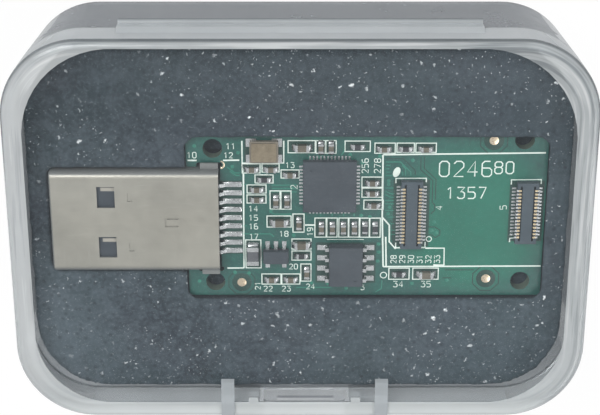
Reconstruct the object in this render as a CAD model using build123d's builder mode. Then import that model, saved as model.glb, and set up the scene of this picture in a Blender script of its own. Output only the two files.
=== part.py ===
import os
from build123d import *

# USB microcontroller programmer lying in the foam of its hinged clear case.
# Millimetres. X runs along the case, the plug points to -X, the hinge is on the +Y side, +Z is up
# and the origin is the middle of the flat underside of the case.

os.makedirs("parts", exist_ok=True)

# ---------------------------------------------------------------- case
case_length = 65.0
case_width = 45.0
case_height = 20.0
corner_radius = 8.9
wall = 1.2
floor_thickness = 1.2
draft_angle = 0.8
bottom_round = 1.4
top_round = 0.9
inner_bevel = 0.5

lid_depth = 5.95             # outside height of the lid, from its top down to the parting
parting_gap = 0.2
parting_z = case_height - lid_depth      # middle of the gap between the rim and the skirt of the lid
rim_z = parting_z - parting_gap / 2
skirt_z = parting_z + parting_gap / 2

lip_height = 0.8             # locating lip on the rim, inside the skirt of the lid
lip_thickness = 0.5
lip_clearance = 0.15

# ---------------------------------------------------------------- latch
latch_x = 0.5
tab_width = 19.2
tab_drop = 4.45              # the tab hangs this far below the parting
tab_bottom_z = parting_z - tab_drop
tab_thickness = 0.8
tab_proud = 0.25
tab_gap = 0.2                # between the back of the tab and the wall behind it
tab_side_gap = 0.35
latch_wall = 1.0             # wall left behind the tab
latch_boss_margin = 0.9
catch_width = 7.2
catch_height = 0.6
catch_drop = 2.55
catch_z = parting_z - catch_drop
catch_relief = 0.05          # what the ridge stays short of the back of the tab
slot_play = 0.3
thumb_width = 9.7
thumb_height = 4.4
thumb_rise = 0.75
thumb_z = parting_z + thumb_rise
thumb_proud = 0.35
rib_width = 1.5
rib_proud = 0.35
rib_reach = 5.3              # how far the latch ribs run back over the top of the lid
gusset_width = 1.1
gusset_depth = 0.9
gusset_height = 2.6
gusset_spacing = 11.8

# ---------------------------------------------------------------- hinge
hinge_end = 3.7              # straight wall left between the strip and the round corner
hinge_length = case_length - 2 * (corner_radius + hinge_end)
pad_proud = 0.5
base_pad_height = 1.05
lid_pad_height = 2.2
pad_chamfer = 0.4
web_outer = 0.5
web_inner = 0.2

# ---------------------------------------------------------------- foam
foam_end_gap = 0.65          # between the foam and the walls of the base
foam_back_gap = 0.55
foam_front_gap = 0.95
foam_headroom = 2.0          # between the foam and the top of the lid
foam_length = case_length - 2 * (wall + foam_end_gap)
foam_back = case_width / 2 - wall - foam_back_gap
foam_front = case_width / 2 - wall - foam_front_gap
foam_top_z = case_height - wall - foam_headroom
foam_seat = 0.3              # soft block over the floor of the base
foam_corner = 8.4
foam_cut_x = 5.6             # the two rear corners are cut off straight
foam_cut_y = 6.0
foam_cut_round = 2.0
pocket_play = 0.3
pocket_round = 0.6
lip_reach = 1.3              # the foam closes over the back edge of the board by this much
foam_wall_plug = 2.3         # foam left between the pocket and the end of the block
foam_wall_board = 2.65

# ---------------------------------------------------------------- plug on the board
plug_y = 0.85
plug_length = 18.9
plug_width = 12.0
plug_height = 4.5
plug_corner = 0.75
sheet = 0.3
plug_front = pocket_play + foam_wall_plug - foam_length / 2
plug_back = plug_front + plug_length
plug_on_board = 3.65         # how far the board reaches under the shell
plug_over_board = 1.6        # top of the shell over the top of the board
notch_play = 0.1
notch_end = plug_back + 0.15

# ---------------------------------------------------------------- circuit board
# the board is as wide as the plug, the slots of its side tabs and the holes beyond them need
slot_length = 2.9
slot_width = 0.6
hole_diameter = 2.2
hole_web_back = 0.55         # board left between a slot and the hole beyond it
hole_web_front = 0.2
hole_edge_back = 1.55        # board left between that hole and the edge
hole_edge_front = 0.6
slot_reach = plug_width / 2 + slot_width
reach_back = slot_reach + hole_web_back + hole_diameter + hole_edge_back
reach_front = slot_reach + hole_web_front + hole_diameter + hole_edge_front
board_thickness = 1.6
board_sink = 1.0             # top of the board under the top of the foam
board_corner = 0.4
board_left = plug_back - plug_on_board
board_right = foam_length / 2 - foam_wall_board - pocket_play
board_back = plug_y + reach_back
board_front = plug_y - reach_front
board_length = board_right - board_left
board_width = board_back - board_front
board_x = (board_left + board_right) / 2
board_y = (board_back + board_front) / 2
board_top_z = foam_top_z - board_sink
board_bottom_z = board_top_z - board_thickness

# Places on the board are measured from the middle of the back edge of the plug, or, at the far end,
# from the right edge of the board. Across the board they spread as its two edges move out.
drawn_reach_back = 10.9
drawn_reach_front = 9.6


def across(y):
    if y > 0:
        return plug_y + y * reach_back / drawn_reach_back
    return plug_y + y * reach_front / drawn_reach_front


def place(x, y):
    return (plug_back + x, across(y))


hole_left_back = (-0.65, reach_back - hole_edge_back - hole_diameter / 2)
hole_left_front = (-0.6, hole_edge_front + hole_diameter / 2 - reach_front)
hole_right_back = (2.7, 1.65)            # in from the right edge, in from the back edge
hole_right_front = (2.4, 1.8)            # in from the right edge, in from the front edge
holes = [(plug_back + hole_left_back[0], plug_y + hole_left_back[1]),
         (plug_back + hole_left_front[0], plug_y + hole_left_front[1]),
         (board_right - hole_right_back[0], board_back - hole_right_back[1]),
         (board_right - hole_right_front[0], board_front + hole_right_front[1])]

# ---------------------------------------------------------------- plug details
plug_top_z = board_top_z + plug_over_board
plug_mid_z = plug_top_z - plug_height / 2
window_length = 2.0
window_width = 2.5
window_pitch = 6.0
window_back = 5.3            # from the mouth of the plug to the near edge of a window
tick_length = 0.55
tick_width = 1.0
tick_depth = 0.12
tick_x = 9.0
mark_x = 13.6
mark_length = 1.5
mark_width = 1.1
mark_slot = 0.2
side_tab_length = 2.0
side_tab_drop = 3.1
side_tab_reach = 0.55
side_tab_back = 1.05
side_tab_x = plug_back - side_tab_back
seam = 0.12

tongue_thickness = 1.9
tongue_set_back = 0.5
insulator_gap = 0.05
block_length = 5.6
contact_thickness = 0.12
contact_width = 1.0
contact_length = 7.4
contact_offsets = [-3.5, -1.0, 1.0, 3.5]
spring_offsets = [-4.0, -2.0, 0.0, 2.0, 4.0]
spring_width = 0.6
spring_length = 2.2
spring_rise = 0.45
tail_count = 9
tail_pitch = 1.0
tail_width = 0.42
tail_thickness = 0.22
tail_reach = 2.3
tail_end = plug_back + tail_reach
tail_rise = 0.35
land = 0.1                   # solder land thickness under every part

# ---------------------------------------------------------------- crystal
crystal_at = place(5.1, 8.0)
crystal_size = (3.2, 2.5)
crystal_height = 0.6
crystal_lid_inset = 0.2
crystal_lid_height = 0.14
crystal_land = (1.15, 0.95)
crystal_land_offset = (1.45, 0.95)

# ---------------------------------------------------------------- controller
controller_at = place(12.45, 3.95)
controller_side = 6.0
controller_height = 0.85
controller_pads = 12
controller_pitch = 0.4
controller_pad_width = 0.21
controller_pad_out = 0.42
controller_pad_in = 0.3
controller_thermal = 4.3
marker_diameter = 0.45
marker_depth = 0.05

# ---------------------------------------------------------------- memory chip
memory_at = place(14.35, -5.55)
memory_body = (3.9, 4.9)
memory_height = 1.4
memory_pitch = 1.27
memory_lead_width = 0.42
memory_lead_thickness = 0.2
memory_span = 6.1
memory_foot = 0.65
memory_land = 0.95

# ---------------------------------------------------------------- regulator
regulator_at = place(6.37, -4.5)
regulator_body = (2.9, 1.6)
regulator_height = 1.1
regulator_pitch = 0.95
regulator_lead_width = 0.4
regulator_lead_thickness = 0.15
regulator_span = 2.9
regulator_foot = 0.45

mould_taper = 7.0            # draft of the moulded chip bodies, degrees
stand_off = 0.1

# ---------------------------------------------------------------- chips: (x, y, quarter turns)
# sizes are (length, width, height, length of one end cap)
small_size = (1.1, 0.6, 0.55, 0.25)
middle_size = (1.6, 0.8, 0.75, 0.32)
large_size = (2.2, 1.3, 0.95, 0.5)
flat_size = (1.1, 0.6, 0.38, 0.22)
small_capacitors = [
    (3.7, 5.8, 0), (5.85, 5.8, 0), (8, 5.15, 0), (4.25, 3.4, 0), (4.25, 2.2, 0),
    (6.4, 1.9, 1), (7.65, 1.9, 1), (11.45, 8.35, 1), (12.6, 8.35, 1),
    (18.5, 8.2, 0), (23.15, 8.2, 0), (17.25, 4.2, 0), (17.25, 2.95, 0), (17.45, 1.5, 0),
    (9, -0.75, 1), (9.9, -6.85, 1), (5.85, -7.6, 0), (8.05, -7.6, 0),
    (11.55, -1.3, 1), (12.8, -1.3, 1), (14.05, -1.3, 1), (15.3, -1.3, 1),
]
middle_capacitors = [(6.8, -0.55, 0), (9.35, 8.4, 0), (23.6, -6.95, 0), (9.3, -3.3, 0)]
small_resistors = [
    (5.1, 4.55, 0), (20.9, 8.2, 0), (16.5, -1.3, 1), (17.65, -1.3, 1),
    (9.3, -4.7, 0), (20.5, -6.95, 0), (15.55, 8.45, 0),
]
bead_from_plug = (3.75, -4.45)

# ---------------------------------------------------------------- board-to-board headers
header_pitch = 0.4
header_width = 2.4
header_height = 0.9
header_base = 0.25
header_wall = 0.35
header_end = 0.85            # housing beyond the last contact
header_island = 1.25
header_groove_end = 0.35
contact_blade = 0.2
contact_sheet = 0.1
contact_foot = 0.5
header_a_at = place(21.7, 0.52)
header_b_at = (board_right - 2.15, across(0.75))
header_a_contacts = 17
header_b_contacts = 15


# ================================================================ case base
half_length = case_length / 2
half_width = case_width / 2
inner_front = -(half_width - wall)
latch_face = -(half_width + tab_proud - tab_thickness - tab_gap)   # wall face behind the tab
latch_inner = latch_face + latch_wall

with BuildPart() as case_base:
    # outside of the tray, a little narrower towards the floor
    with BuildSketch(Plane.XY.offset(rim_z)):
        RectangleRounded(case_length, case_width, corner_radius)
    extrude(amount=-rim_z, taper=draft_angle)
    # the bottom edge is broken in two flats: a steep one on the wall, a low one under the floor
    chamfer(case_base.faces().sort_by(Axis.Z)[0].edges(), bottom_round / 2)
    chamfer(case_base.faces().sort_by(Axis.Z)[0].edges(), bottom_round / 4)
    # inside of the tray
    with BuildSketch(Plane.XY.offset(rim_z)):
        RectangleRounded(case_length - 2 * wall, case_width - 2 * wall, corner_radius - wall)
    extrude(amount=-(rim_z - floor_thickness), taper=draft_angle, mode=Mode.SUBTRACT)
    # locating lip round the rim
    with BuildSketch(Plane.XY.offset(rim_z)):
        RectangleRounded(case_length - 2 * (wall - lip_thickness), case_width - 2 * (wall - lip_thickness),
                         corner_radius - wall + lip_thickness)
        RectangleRounded(case_length - 2 * wall, case_width - 2 * wall, corner_radius - wall,
                         mode=Mode.SUBTRACT)
    extrude(amount=lip_height)
    # the front wall steps inwards behind the latch tab
    boss_width = tab_width + 2 * tab_side_gap + 2 * latch_boss_margin
    recess_bottom = tab_bottom_z - 2 * tab_side_gap
    with Locations((latch_x, inner_front - wall / 2, recess_bottom - latch_wall)):
        Box(boss_width, latch_inner - inner_front + wall / 2, rim_z - recess_bottom + latch_wall,
            align=(Align.CENTER, Align.MIN, Align.MIN))
    with Locations((latch_x, latch_face, recess_bottom)):
        Box(tab_width + 2 * tab_side_gap, wall + tab_proud, case_height,
            align=(Align.CENTER, Align.MAX, Align.MIN), mode=Mode.SUBTRACT)
    # catch ridge, rounded along its length
    catch_proud = tab_gap - catch_relief
    with Locations((latch_x, latch_face + wall / 4, catch_z)):
        Box(catch_width, wall / 4 + catch_proud, catch_height,
            align=(Align.CENTER, Align.MAX, Align.CENTER))
    # hinge pad on the back wall
    with BuildSketch(Plane.YZ.offset(-hinge_length / 2)):
        with BuildLine():
            Polyline((half_width - wall / 2, rim_z), (half_width + pad_proud, rim_z),
                     (half_width + pad_proud, rim_z - base_pad_height + pad_proud / 2),
                     (half_width - wall / 2, rim_z - base_pad_height - pad_proud), close=True)
        make_face()
    extrude(amount=hinge_length)
case_base.part.label = "case_base"
export_step(case_base.part, "parts/case_base.step")


# ================================================================ case lid
with BuildPart() as case_lid:
    with BuildSketch(Plane.XY.offset(skirt_z)):
        RectangleRounded(case_length, case_width, corner_radius)
    extrude(amount=case_height - skirt_z)
    fillet(case_lid.faces().sort_by(Axis.Z)[-1].edges(), top_round)
    # inside of the lid
    with BuildSketch(Plane.XY.offset(skirt_z)):
        RectangleRounded(case_length - 2 * wall, case_width - 2 * wall, corner_radius - wall)
    extrude(amount=case_height - wall - skirt_z, mode=Mode.SUBTRACT)
    chamfer(case_lid.faces().filter_by(Axis.Z).sort_by(Axis.Z)[-2].edges(), inner_bevel)
    # rebate that takes the lip of the base
    rebate = wall - lip_thickness - lip_clearance
    with BuildSketch(Plane.XY.offset(skirt_z)):
        RectangleRounded(case_length - 2 * rebate, case_width - 2 * rebate, corner_radius - rebate)
    extrude(amount=rim_z + lip_height + lip_clearance - skirt_z, mode=Mode.SUBTRACT)
    # gussets between the top and the front wall
    for gusset_x in (latch_x - gusset_spacing / 2, latch_x + gusset_spacing / 2):
        with BuildSketch(Plane.YZ.offset(gusset_x - gusset_width / 2)):
            with BuildLine():
                Polyline((inner_front - wall / 4, case_height - wall / 2),
                         (inner_front + gusset_depth, case_height - wall / 2),
                         (inner_front + gusset_depth, case_height - wall - gusset_height / 2),
                         (inner_front - wall / 4, case_height - wall - gusset_height), close=True)
            make_face()
        extrude(amount=gusset_width)
    # latch tab hanging over the front wall of the base
    tab_front = -(half_width + tab_proud)
    with Locations((latch_x, tab_front, tab_bottom_z)):
        Box(tab_width, tab_thickness, case_height - top_round - tab_bottom_z,
            align=(Align.CENTER, Align.MIN, Align.MIN))
    # thumb pad on the tab
    with BuildSketch(Plane.XZ.offset(-tab_front - tab_thickness / 2)):
        with Locations((latch_x, thumb_z)):
            RectangleRounded(thumb_width, thumb_height, thumb_height / 5)
    extrude(amount=tab_thickness / 2 + thumb_proud)
    # slot that the catch ridge stands in
    with Locations((latch_x, tab_front, catch_z)):
        Box(catch_width + 2 * slot_play, 3 * tab_thickness, catch_height + 2 * slot_play,
            align=(Align.CENTER, Align.CENTER, Align.CENTER), mode=Mode.SUBTRACT)
    # two ribs run over the top, round the edge and down the ends of the tab
    rib_offset = (tab_width - rib_width) / 2
    rib_front = tab_front - rib_proud / 2
    for rib_x in (latch_x - rib_offset, latch_x + rib_offset):
        with BuildSketch(Plane.YZ.offset(rib_x - rib_width / 2)):
            with BuildLine():
                Polyline((tab_front + rib_reach, case_height - wall / 2),
                         (tab_front + rib_reach, case_height),
                         (tab_front + rib_reach - rib_proud, case_height + rib_proud),
                         (rib_front + top_round, case_height + rib_proud),
                         (rib_front + top_round / 4, case_height + rib_proud - top_round / 4),
                         (rib_front, case_height - top_round + rib_proud),
                         (rib_front, tab_bottom_z),
                         (tab_front + tab_thickness / 2, tab_bottom_z),
                         (tab_front + tab_thickness / 2, case_height - wall / 2), close=True)
            make_face()
        extrude(amount=rib_width)
    # hinge pad on the back of the skirt
    with BuildSketch(Plane.YZ.offset(-hinge_length / 2)):
        with BuildLine():
            Polyline((half_width - rebate / 2, skirt_z), (half_width + pad_proud, skirt_z),
                     (half_width + pad_proud, skirt_z + lid_pad_height - pad_chamfer),
                     (half_width, skirt_z + lid_pad_height + pad_chamfer),
                     (half_width - rebate / 2, skirt_z + lid_pad_height + pad_chamfer), close=True)
        make_face()
    extrude(amount=hinge_length)
case_lid.part.label = "case_lid"
export_step(case_lid.part, "parts/case_lid.step")


# ================================================================ living hinge
with BuildPart() as living_hinge:
    with BuildSketch(Plane.YZ.offset(-hinge_length / 2)):
        with Locations((half_width + pad_proud, parting_z)):
            Circle(web_outer)
            Circle(web_inner, mode=Mode.SUBTRACT)
            Rectangle(2 * web_outer, 2 * web_outer, align=(Align.MAX, Align.CENTER), mode=Mode.SUBTRACT)
    extrude(amount=hinge_length)
living_hinge.part.label = "living_hinge"
export_step(living_hinge.part, "parts/living_hinge.step")


# ================================================================ foam insert
foam_bottom_z = floor_thickness + foam_seat
with BuildPart() as foam_insert:
    with BuildSketch(Plane.XY.offset(foam_bottom_z)):
        with BuildLine():
            FilletPolyline((-foam_length / 2, -foam_front), (foam_length / 2, -foam_front),
                           (foam_length / 2, foam_back - foam_cut_y),
                           (foam_length / 2 - foam_cut_x, foam_back),
                           (-foam_length / 2 + foam_cut_x, foam_back),
                           (-foam_length / 2, foam_back - foam_cut_y),
                           radius=[foam_corner, foam_corner, foam_cut_round, foam_cut_round,
                                   foam_cut_round, foam_cut_round], close=True)
        make_face()
    extrude(amount=foam_top_z - foam_bottom_z)
    # pocket for the board, closed over its back edge by a lip
    board_pocket_z = board_bottom_z - pocket_play
    lip_z = board_top_z + pocket_play
    pocket_back = board_back + pocket_play
    with Locations((board_x, board_y, board_pocket_z)):
        Box(board_length + 2 * pocket_play, board_width + 2 * pocket_play, lip_z - board_pocket_z,
            align=(Align.CENTER, Align.CENTER, Align.MIN), mode=Mode.SUBTRACT)
    opening_width = board_width + 2 * pocket_play - lip_reach - pocket_play
    with BuildSketch(Plane.XY.offset(board_pocket_z)):
        with Locations((board_x, pocket_back - lip_reach - pocket_play - opening_width / 2)):
            RectangleRounded(board_length + 2 * pocket_play, opening_width, pocket_round)
    extrude(amount=foam_top_z - board_pocket_z, mode=Mode.SUBTRACT)
    # deeper pocket that hugs the plug and widens at the side tabs
    plug_pocket_z = plug_top_z - plug_height - pocket_play
    plug_pocket_end = side_tab_x + slot_length / 2 + pocket_play
    tab_pocket_start = side_tab_x - slot_length / 2 - pocket_play
    for pocket_start, side_play in ((plug_front - pocket_play, pocket_play),
                                    (tab_pocket_start, side_tab_reach + 2 * pocket_play)):
        with Locations(((pocket_start + plug_pocket_end) / 2, plug_y, plug_pocket_z)):
            Box(plug_pocket_end - pocket_start, plug_width + 2 * side_play, foam_top_z - plug_pocket_z,
                align=(Align.CENTER, Align.CENTER, Align.MIN), mode=Mode.SUBTRACT)
foam_insert.part.label = "foam_insert"
export_step(foam_insert.part, "parts/foam_insert.step")


# ================================================================ circuit board
notch_width = plug_width + 2 * notch_play
with BuildPart() as circuit_board:
    with BuildSketch(Plane.XY.offset(board_bottom_z)):
        with Locations((board_x, board_y)):
            RectangleRounded(board_length, board_width, board_corner)
        # open notch for the plug
        with Locations((plug_front, plug_y)):
            Rectangle(notch_end - plug_front, notch_width, align=(Align.MIN, Align.CENTER),
                      mode=Mode.SUBTRACT)
        # slots for the side tabs of the shell, open to the notch
        slot_offset = (plug_width + slot_width) / 2
        with Locations((side_tab_x, plug_y - slot_offset), (side_tab_x, plug_y + slot_offset)):
            SlotOverall(slot_length, slot_width, mode=Mode.SUBTRACT)
        with Locations(*holes):
            Circle(hole_diameter / 2, mode=Mode.SUBTRACT)
    extrude(amount=board_thickness)
circuit_board.part.label = "circuit_board"
export_step(circuit_board.part, "parts/circuit_board.step")


# ================================================================ plug shell
shell_round = plug_corner - sheet
with BuildPart() as plug_shell:
    with BuildSketch(Plane.YZ.offset(plug_front)):
        with Locations((plug_y, plug_mid_z)):
            RectangleRounded(plug_width, plug_height, plug_corner)
            RectangleRounded(plug_width - 2 * sheet, plug_height - 2 * sheet, shell_round,
                             mode=Mode.SUBTRACT)
    extrude(amount=plug_length)
    # lead-in round the mouth
    chamfer(plug_shell.faces().sort_by(Axis.X)[0].outer_wire().edges(), sheet / 2)
    # windows through the top and the bottom
    window_x = plug_front + window_back + window_length / 2
    with Locations((window_x, plug_y - window_pitch / 2, plug_mid_z),
                   (window_x, plug_y + window_pitch / 2, plug_mid_z)):
        Box(window_length, window_width, plug_height + 2 * sheet, mode=Mode.SUBTRACT)
    # folded seam along the underside
    with Locations((plug_front + plug_length / 2, plug_y, plug_top_z - plug_height)):
        Box(2 * plug_length, seam, 3 * sheet, mode=Mode.SUBTRACT)
    # pressed ticks behind the windows
    with Locations((plug_front + tick_x, plug_y - window_pitch / 2, plug_top_z),
                   (plug_front + tick_x, plug_y + window_pitch / 2, plug_top_z)):
        Box(tick_length, tick_width, 2 * tick_depth, mode=Mode.SUBTRACT)
    # pressed latch: a slit on three sides of a small tongue
    with BuildSketch(Plane.XY.offset(plug_top_z - sheet / 2)):
        with Locations((plug_front + mark_x, plug_y)):
            Rectangle(mark_length, mark_width)
            with Locations((mark_slot / 2, 0)):
                Rectangle(mark_length - mark_slot, mark_width - 2 * mark_slot, mode=Mode.SUBTRACT)
    extrude(amount=sheet, mode=Mode.SUBTRACT)
    # side tabs, out from the walls and down through the board
    for side in (-1, 1):
        wall_y = plug_y + side * plug_width / 2
        with Locations((side_tab_x, wall_y + side * side_tab_reach / 2, plug_mid_z + plug_height / 4)):
            Box(side_tab_length, side_tab_reach + sheet, sheet)
        with Locations((side_tab_x, wall_y + side * (side_tab_reach - sheet / 2),
                        plug_mid_z + plug_height / 4 + sheet / 2)):
            Box(side_tab_length, sheet, side_tab_drop, align=(Align.CENTER, Align.CENTER, Align.MAX))
plug_shell.part.label = "plug_shell"
export_step(plug_shell.part, "parts/plug_shell.step")


# ================================================================ plug insulator
inside_width = plug_width - 2 * sheet - 2 * insulator_gap
inside_height = plug_height - 2 * sheet - 2 * insulator_gap
inside_top_z = plug_top_z - sheet - insulator_gap
block_back = plug_back - sheet
tongue_width = inside_width - 2 * sheet
tongue_under_z = inside_top_z - tongue_thickness
with BuildPart() as plug_insulator:
    with BuildSketch(Plane.YZ.offset(block_back - block_length)):
        with Locations((plug_y, plug_mid_z)):
            RectangleRounded(inside_width, inside_height, shell_round)
    extrude(amount=block_length)
    with Locations((plug_front + tongue_set_back, plug_y, tongue_under_z)):
        Box(plug_length - sheet - tongue_set_back - block_length / 2, tongue_width, tongue_thickness,
            align=(Align.MIN, Align.CENTER, Align.MIN))
    chamfer(plug_insulator.faces().sort_by(Axis.X)[0].edges().filter_by(Axis.Y), sheet)
plug_insulator.part.label = "plug_insulator"
export_step(plug_insulator.part, "parts/plug_insulator.step")


# ================================================================ plug contacts
contact_front = plug_front + tongue_set_back + 2 * sheet
spring_back = block_back - block_length
land_z = board_top_z + land
tail_start_z = land_z + tail_rise
with BuildPart() as plug_contacts:
    # flat strips under the tongue
    with Locations(*[(contact_front, plug_y + offset, tongue_under_z) for offset in contact_offsets]):
        Box(contact_length, contact_width, contact_thickness,
            align=(Align.MIN, Align.CENTER, Align.MAX))
    # bowed springs between and behind them
    for offset in spring_offsets:
        with BuildSketch(Plane.XZ.offset(-(plug_y + offset) - spring_width / 2)):
            with BuildLine():
                Polyline((spring_back, tongue_under_z), (spring_back, tongue_under_z - contact_thickness),
                         (spring_back - spring_length / 3, tongue_under_z - spring_rise),
                         (spring_back - spring_length * 2 / 3, tongue_under_z - spring_rise),
                         (spring_back - spring_length, tongue_under_z - contact_thickness),
                         (spring_back - spring_length, tongue_under_z), close=True)
            make_face()
        extrude(amount=spring_width)
    # nine tails bent down to their lands
    for index in range(tail_count):
        tail_y = plug_y + (index - (tail_count - 1) / 2) * tail_pitch
        with BuildSketch(Plane.XZ.offset(-tail_y - tail_width / 2)):
            with BuildLine():
                Polyline((block_back, tail_start_z + tail_thickness), (block_back, tail_start_z),
                         (block_back + tail_thickness, tail_start_z),
                         (block_back + 4 * tail_thickness, board_top_z), (tail_end, board_top_z),
                         (tail_end, board_top_z + tail_thickness),
                         (block_back + 5 * tail_thickness, board_top_z + tail_thickness),
                         (block_back + 2 * tail_thickness, tail_start_z + tail_thickness), close=True)
            make_face()
        extrude(amount=tail_width)
plug_contacts.part.label = "plug_contacts"
export_step(plug_contacts.part, "parts/plug_contacts.step")


# ================================================================ crystal
crystal_x, crystal_y = crystal_at
with BuildPart() as crystal_lands:
    with BuildSketch(Plane.XY.offset(board_top_z)):
        with Locations((crystal_x, crystal_y)):
            with GridLocations(2 * crystal_land_offset[0], 2 * crystal_land_offset[1], 2, 2):
                Rectangle(*crystal_land)
    extrude(amount=land)
crystal_lands.part.label = "crystal_lands"
export_step(crystal_lands.part, "parts/crystal_lands.step")

with BuildPart() as crystal_can:
    with BuildSketch(Plane.XY.offset(land_z)):
        with Locations((crystal_x, crystal_y)):
            RectangleRounded(crystal_size[0], crystal_size[1], crystal_lid_inset)
    extrude(amount=crystal_height)
crystal_can.part.label = "crystal_can"
export_step(crystal_can.part, "parts/crystal_can.step")

with BuildPart() as crystal_lid:
    with BuildSketch(Plane.XY.offset(land_z + crystal_height)):
        with Locations((crystal_x, crystal_y)):
            RectangleRounded(crystal_size[0] - 2 * crystal_lid_inset, crystal_size[1] - 2 * crystal_lid_inset,
                             crystal_lid_inset)
    extrude(amount=crystal_lid_height)
crystal_lid.part.label = "crystal_lid"
export_step(crystal_lid.part, "parts/crystal_lid.step")


# ================================================================ controller
controller_x, controller_y = controller_at
with BuildPart() as controller_body:
    with BuildSketch(Plane.XY.offset(land_z)):
        with Locations((controller_x, controller_y)):
            Rectangle(controller_side, controller_side)
    extrude(amount=controller_height)
    chamfer(controller_body.faces().sort_by(Axis.Z)[-1].edges(), marker_depth)
    # first-lead marker
    marker_inset = controller_side / 2 - 2 * marker_diameter
    with Locations((controller_x - marker_inset, controller_y + marker_inset, land_z + controller_height)):
        Cylinder(marker_diameter / 2, 2 * marker_depth, mode=Mode.SUBTRACT)
controller_body.part.label = "controller_body"
export_step(controller_body.part, "parts/controller_body.step")

with BuildPart() as controller_pads_group:
    pad_length = controller_pad_in + controller_pad_out
    pad_centre = controller_side / 2 + (controller_pad_out - controller_pad_in) / 2
    with BuildSketch(Plane.XY.offset(board_top_z)):
        with Locations((controller_x, controller_y)):
            Rectangle(controller_thermal, controller_thermal)
        with Locations((controller_x - pad_centre, controller_y), (controller_x + pad_centre, controller_y)):
            with GridLocations(1, controller_pitch, 1, controller_pads):
                Rectangle(pad_length, controller_pad_width)
        with Locations((controller_x, controller_y - pad_centre), (controller_x, controller_y + pad_centre)):
            with GridLocations(controller_pitch, 1, controller_pads, 1):
                Rectangle(controller_pad_width, pad_length)
    extrude(amount=land)
controller_pads_group.part.label = "controller_pads"
export_step(controller_pads_group.part, "parts/controller_pads.step")


# ================================================================ memory chip
memory_x, memory_y = memory_at
memory_mid_z = board_top_z + stand_off + memory_height / 2
with BuildPart() as memory_body_part:
    with BuildSketch(Plane.XY.offset(memory_mid_z)):
        with Locations((memory_x, memory_y)):
            Rectangle(*memory_body)
    extrude(amount=memory_height / 2, both=True, taper=mould_taper)
    marker_x = memory_body[0] / 2 - 2 * marker_diameter
    marker_y = memory_body[1] / 2 - 2 * marker_diameter
    with Locations((memory_x + marker_x, memory_y - marker_y, memory_mid_z + memory_height / 2)):
        Cylinder(marker_diameter / 2, 2 * marker_depth, mode=Mode.SUBTRACT)
memory_body_part.part.label = "memory_body"
export_step(memory_body_part.part, "parts/memory_body.step")

with BuildPart() as memory_leads:
    for side in (-1, 1):
        root_x = memory_x + side * memory_body[0] / 2
        toe_x = memory_x + side * memory_span / 2
        heel_x = toe_x - side * memory_foot
        knee_x = root_x + side * memory_lead_thickness
        top = memory_mid_z + memory_lead_thickness / 2
        for row in range(4):
            lead_y = memory_y + (row - 1.5) * memory_pitch
            with BuildSketch(Plane.XZ.offset(-lead_y - memory_lead_width / 2)):
                with BuildLine():
                    Polyline((root_x, top), (root_x, top - memory_lead_thickness),
                             (knee_x, top - memory_lead_thickness),
                             (heel_x - side * memory_lead_thickness, board_top_z), (toe_x, board_top_z),
                             (toe_x, board_top_z + memory_lead_thickness),
                             (heel_x, board_top_z + memory_lead_thickness),
                             (knee_x + side * memory_lead_thickness, top), close=True)
                make_face()
            extrude(amount=memory_lead_width)
            with Locations((toe_x - side * (memory_land / 2 - land), lead_y, board_top_z)):
                Box(memory_land + memory_lead_thickness, memory_lead_width + 2 * land, land,
                    align=(Align.CENTER, Align.CENTER, Align.MIN))
memory_leads.part.label = "memory_leads"
export_step(memory_leads.part, "parts/memory_leads.step")


# ================================================================ voltage regulator
regulator_x, regulator_y = regulator_at
regulator_mid_z = board_top_z + stand_off + regulator_height / 2
with BuildPart() as regulator_body_part:
    with BuildSketch(Plane.XY.offset(regulator_mid_z)):
        with Locations((regulator_x, regulator_y)):
            Rectangle(*regulator_body)
    extrude(amount=regulator_height / 2, both=True, taper=mould_taper)
regulator_body_part.part.label = "regulator_body"
export_step(regulator_body_part.part, "parts/regulator_body.step")

with BuildPart() as regulator_leads:
    for side, columns in ((1, (-1, 0, 1)), (-1, (-1, 1))):
        root_y = regulator_y + side * regulator_body[1] / 2
        toe_y = regulator_y + side * regulator_span / 2
        heel_y = toe_y - side * regulator_foot
        thin = regulator_lead_thickness
        top = regulator_mid_z + thin / 2
        for column in columns:
            lead_x = regulator_x + column * regulator_pitch
            with BuildSketch(Plane.YZ.offset(lead_x - regulator_lead_width / 2)):
                with BuildLine():
                    Polyline((root_y, top), (root_y, top - thin), (root_y + side * thin / 2, top - thin),
                             (heel_y - side * thin / 2, board_top_z), (toe_y, board_top_z),
                             (toe_y, board_top_z + thin), (heel_y + side * thin / 2, board_top_z + thin),
                             (root_y + side * thin, top), close=True)
                make_face()
            extrude(amount=regulator_lead_width)
            with Locations((lead_x, toe_y - side * regulator_foot / 3, board_top_z)):
                Box(regulator_lead_width + land, regulator_foot + 2 * land, land * 0.8,
                    align=(Align.CENTER, Align.CENTER, Align.MIN))
regulator_leads.part.label = "regulator_leads"
export_step(regulator_leads.part, "parts/regulator_leads.step")


# ================================================================ chips
# a chip is a body between two slightly taller end caps that stand on the board
end_proud = 0.03


def chip_bodies(size, spots):
    length, width, height, cap = size
    for x, y, turns in spots:
        with Locations(Location((*place(x, y), board_top_z + end_proud), (0, 0, 90 * turns))):
            Box(length - 2 * cap, width - 2 * end_proud, height - 2 * end_proud,
                align=(Align.CENTER, Align.CENTER, Align.MIN))


def chip_ends(size, spots):
    length, width, height, cap = size
    for x, y, turns in spots:
        with Locations(Location((*place(x, y), board_top_z), (0, 0, 90 * turns))):
            with Locations((-(length - cap) / 2, 0, 0), ((length - cap) / 2, 0, 0)):
                Box(cap, width, height, align=(Align.CENTER, Align.CENTER, Align.MIN))


with BuildPart() as capacitor_bodies:
    chip_bodies(small_size, small_capacitors)
    chip_bodies(middle_size, middle_capacitors)
capacitor_bodies.part.label = "capacitor_bodies"
export_step(capacitor_bodies.part, "parts/capacitor_bodies.step")

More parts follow.
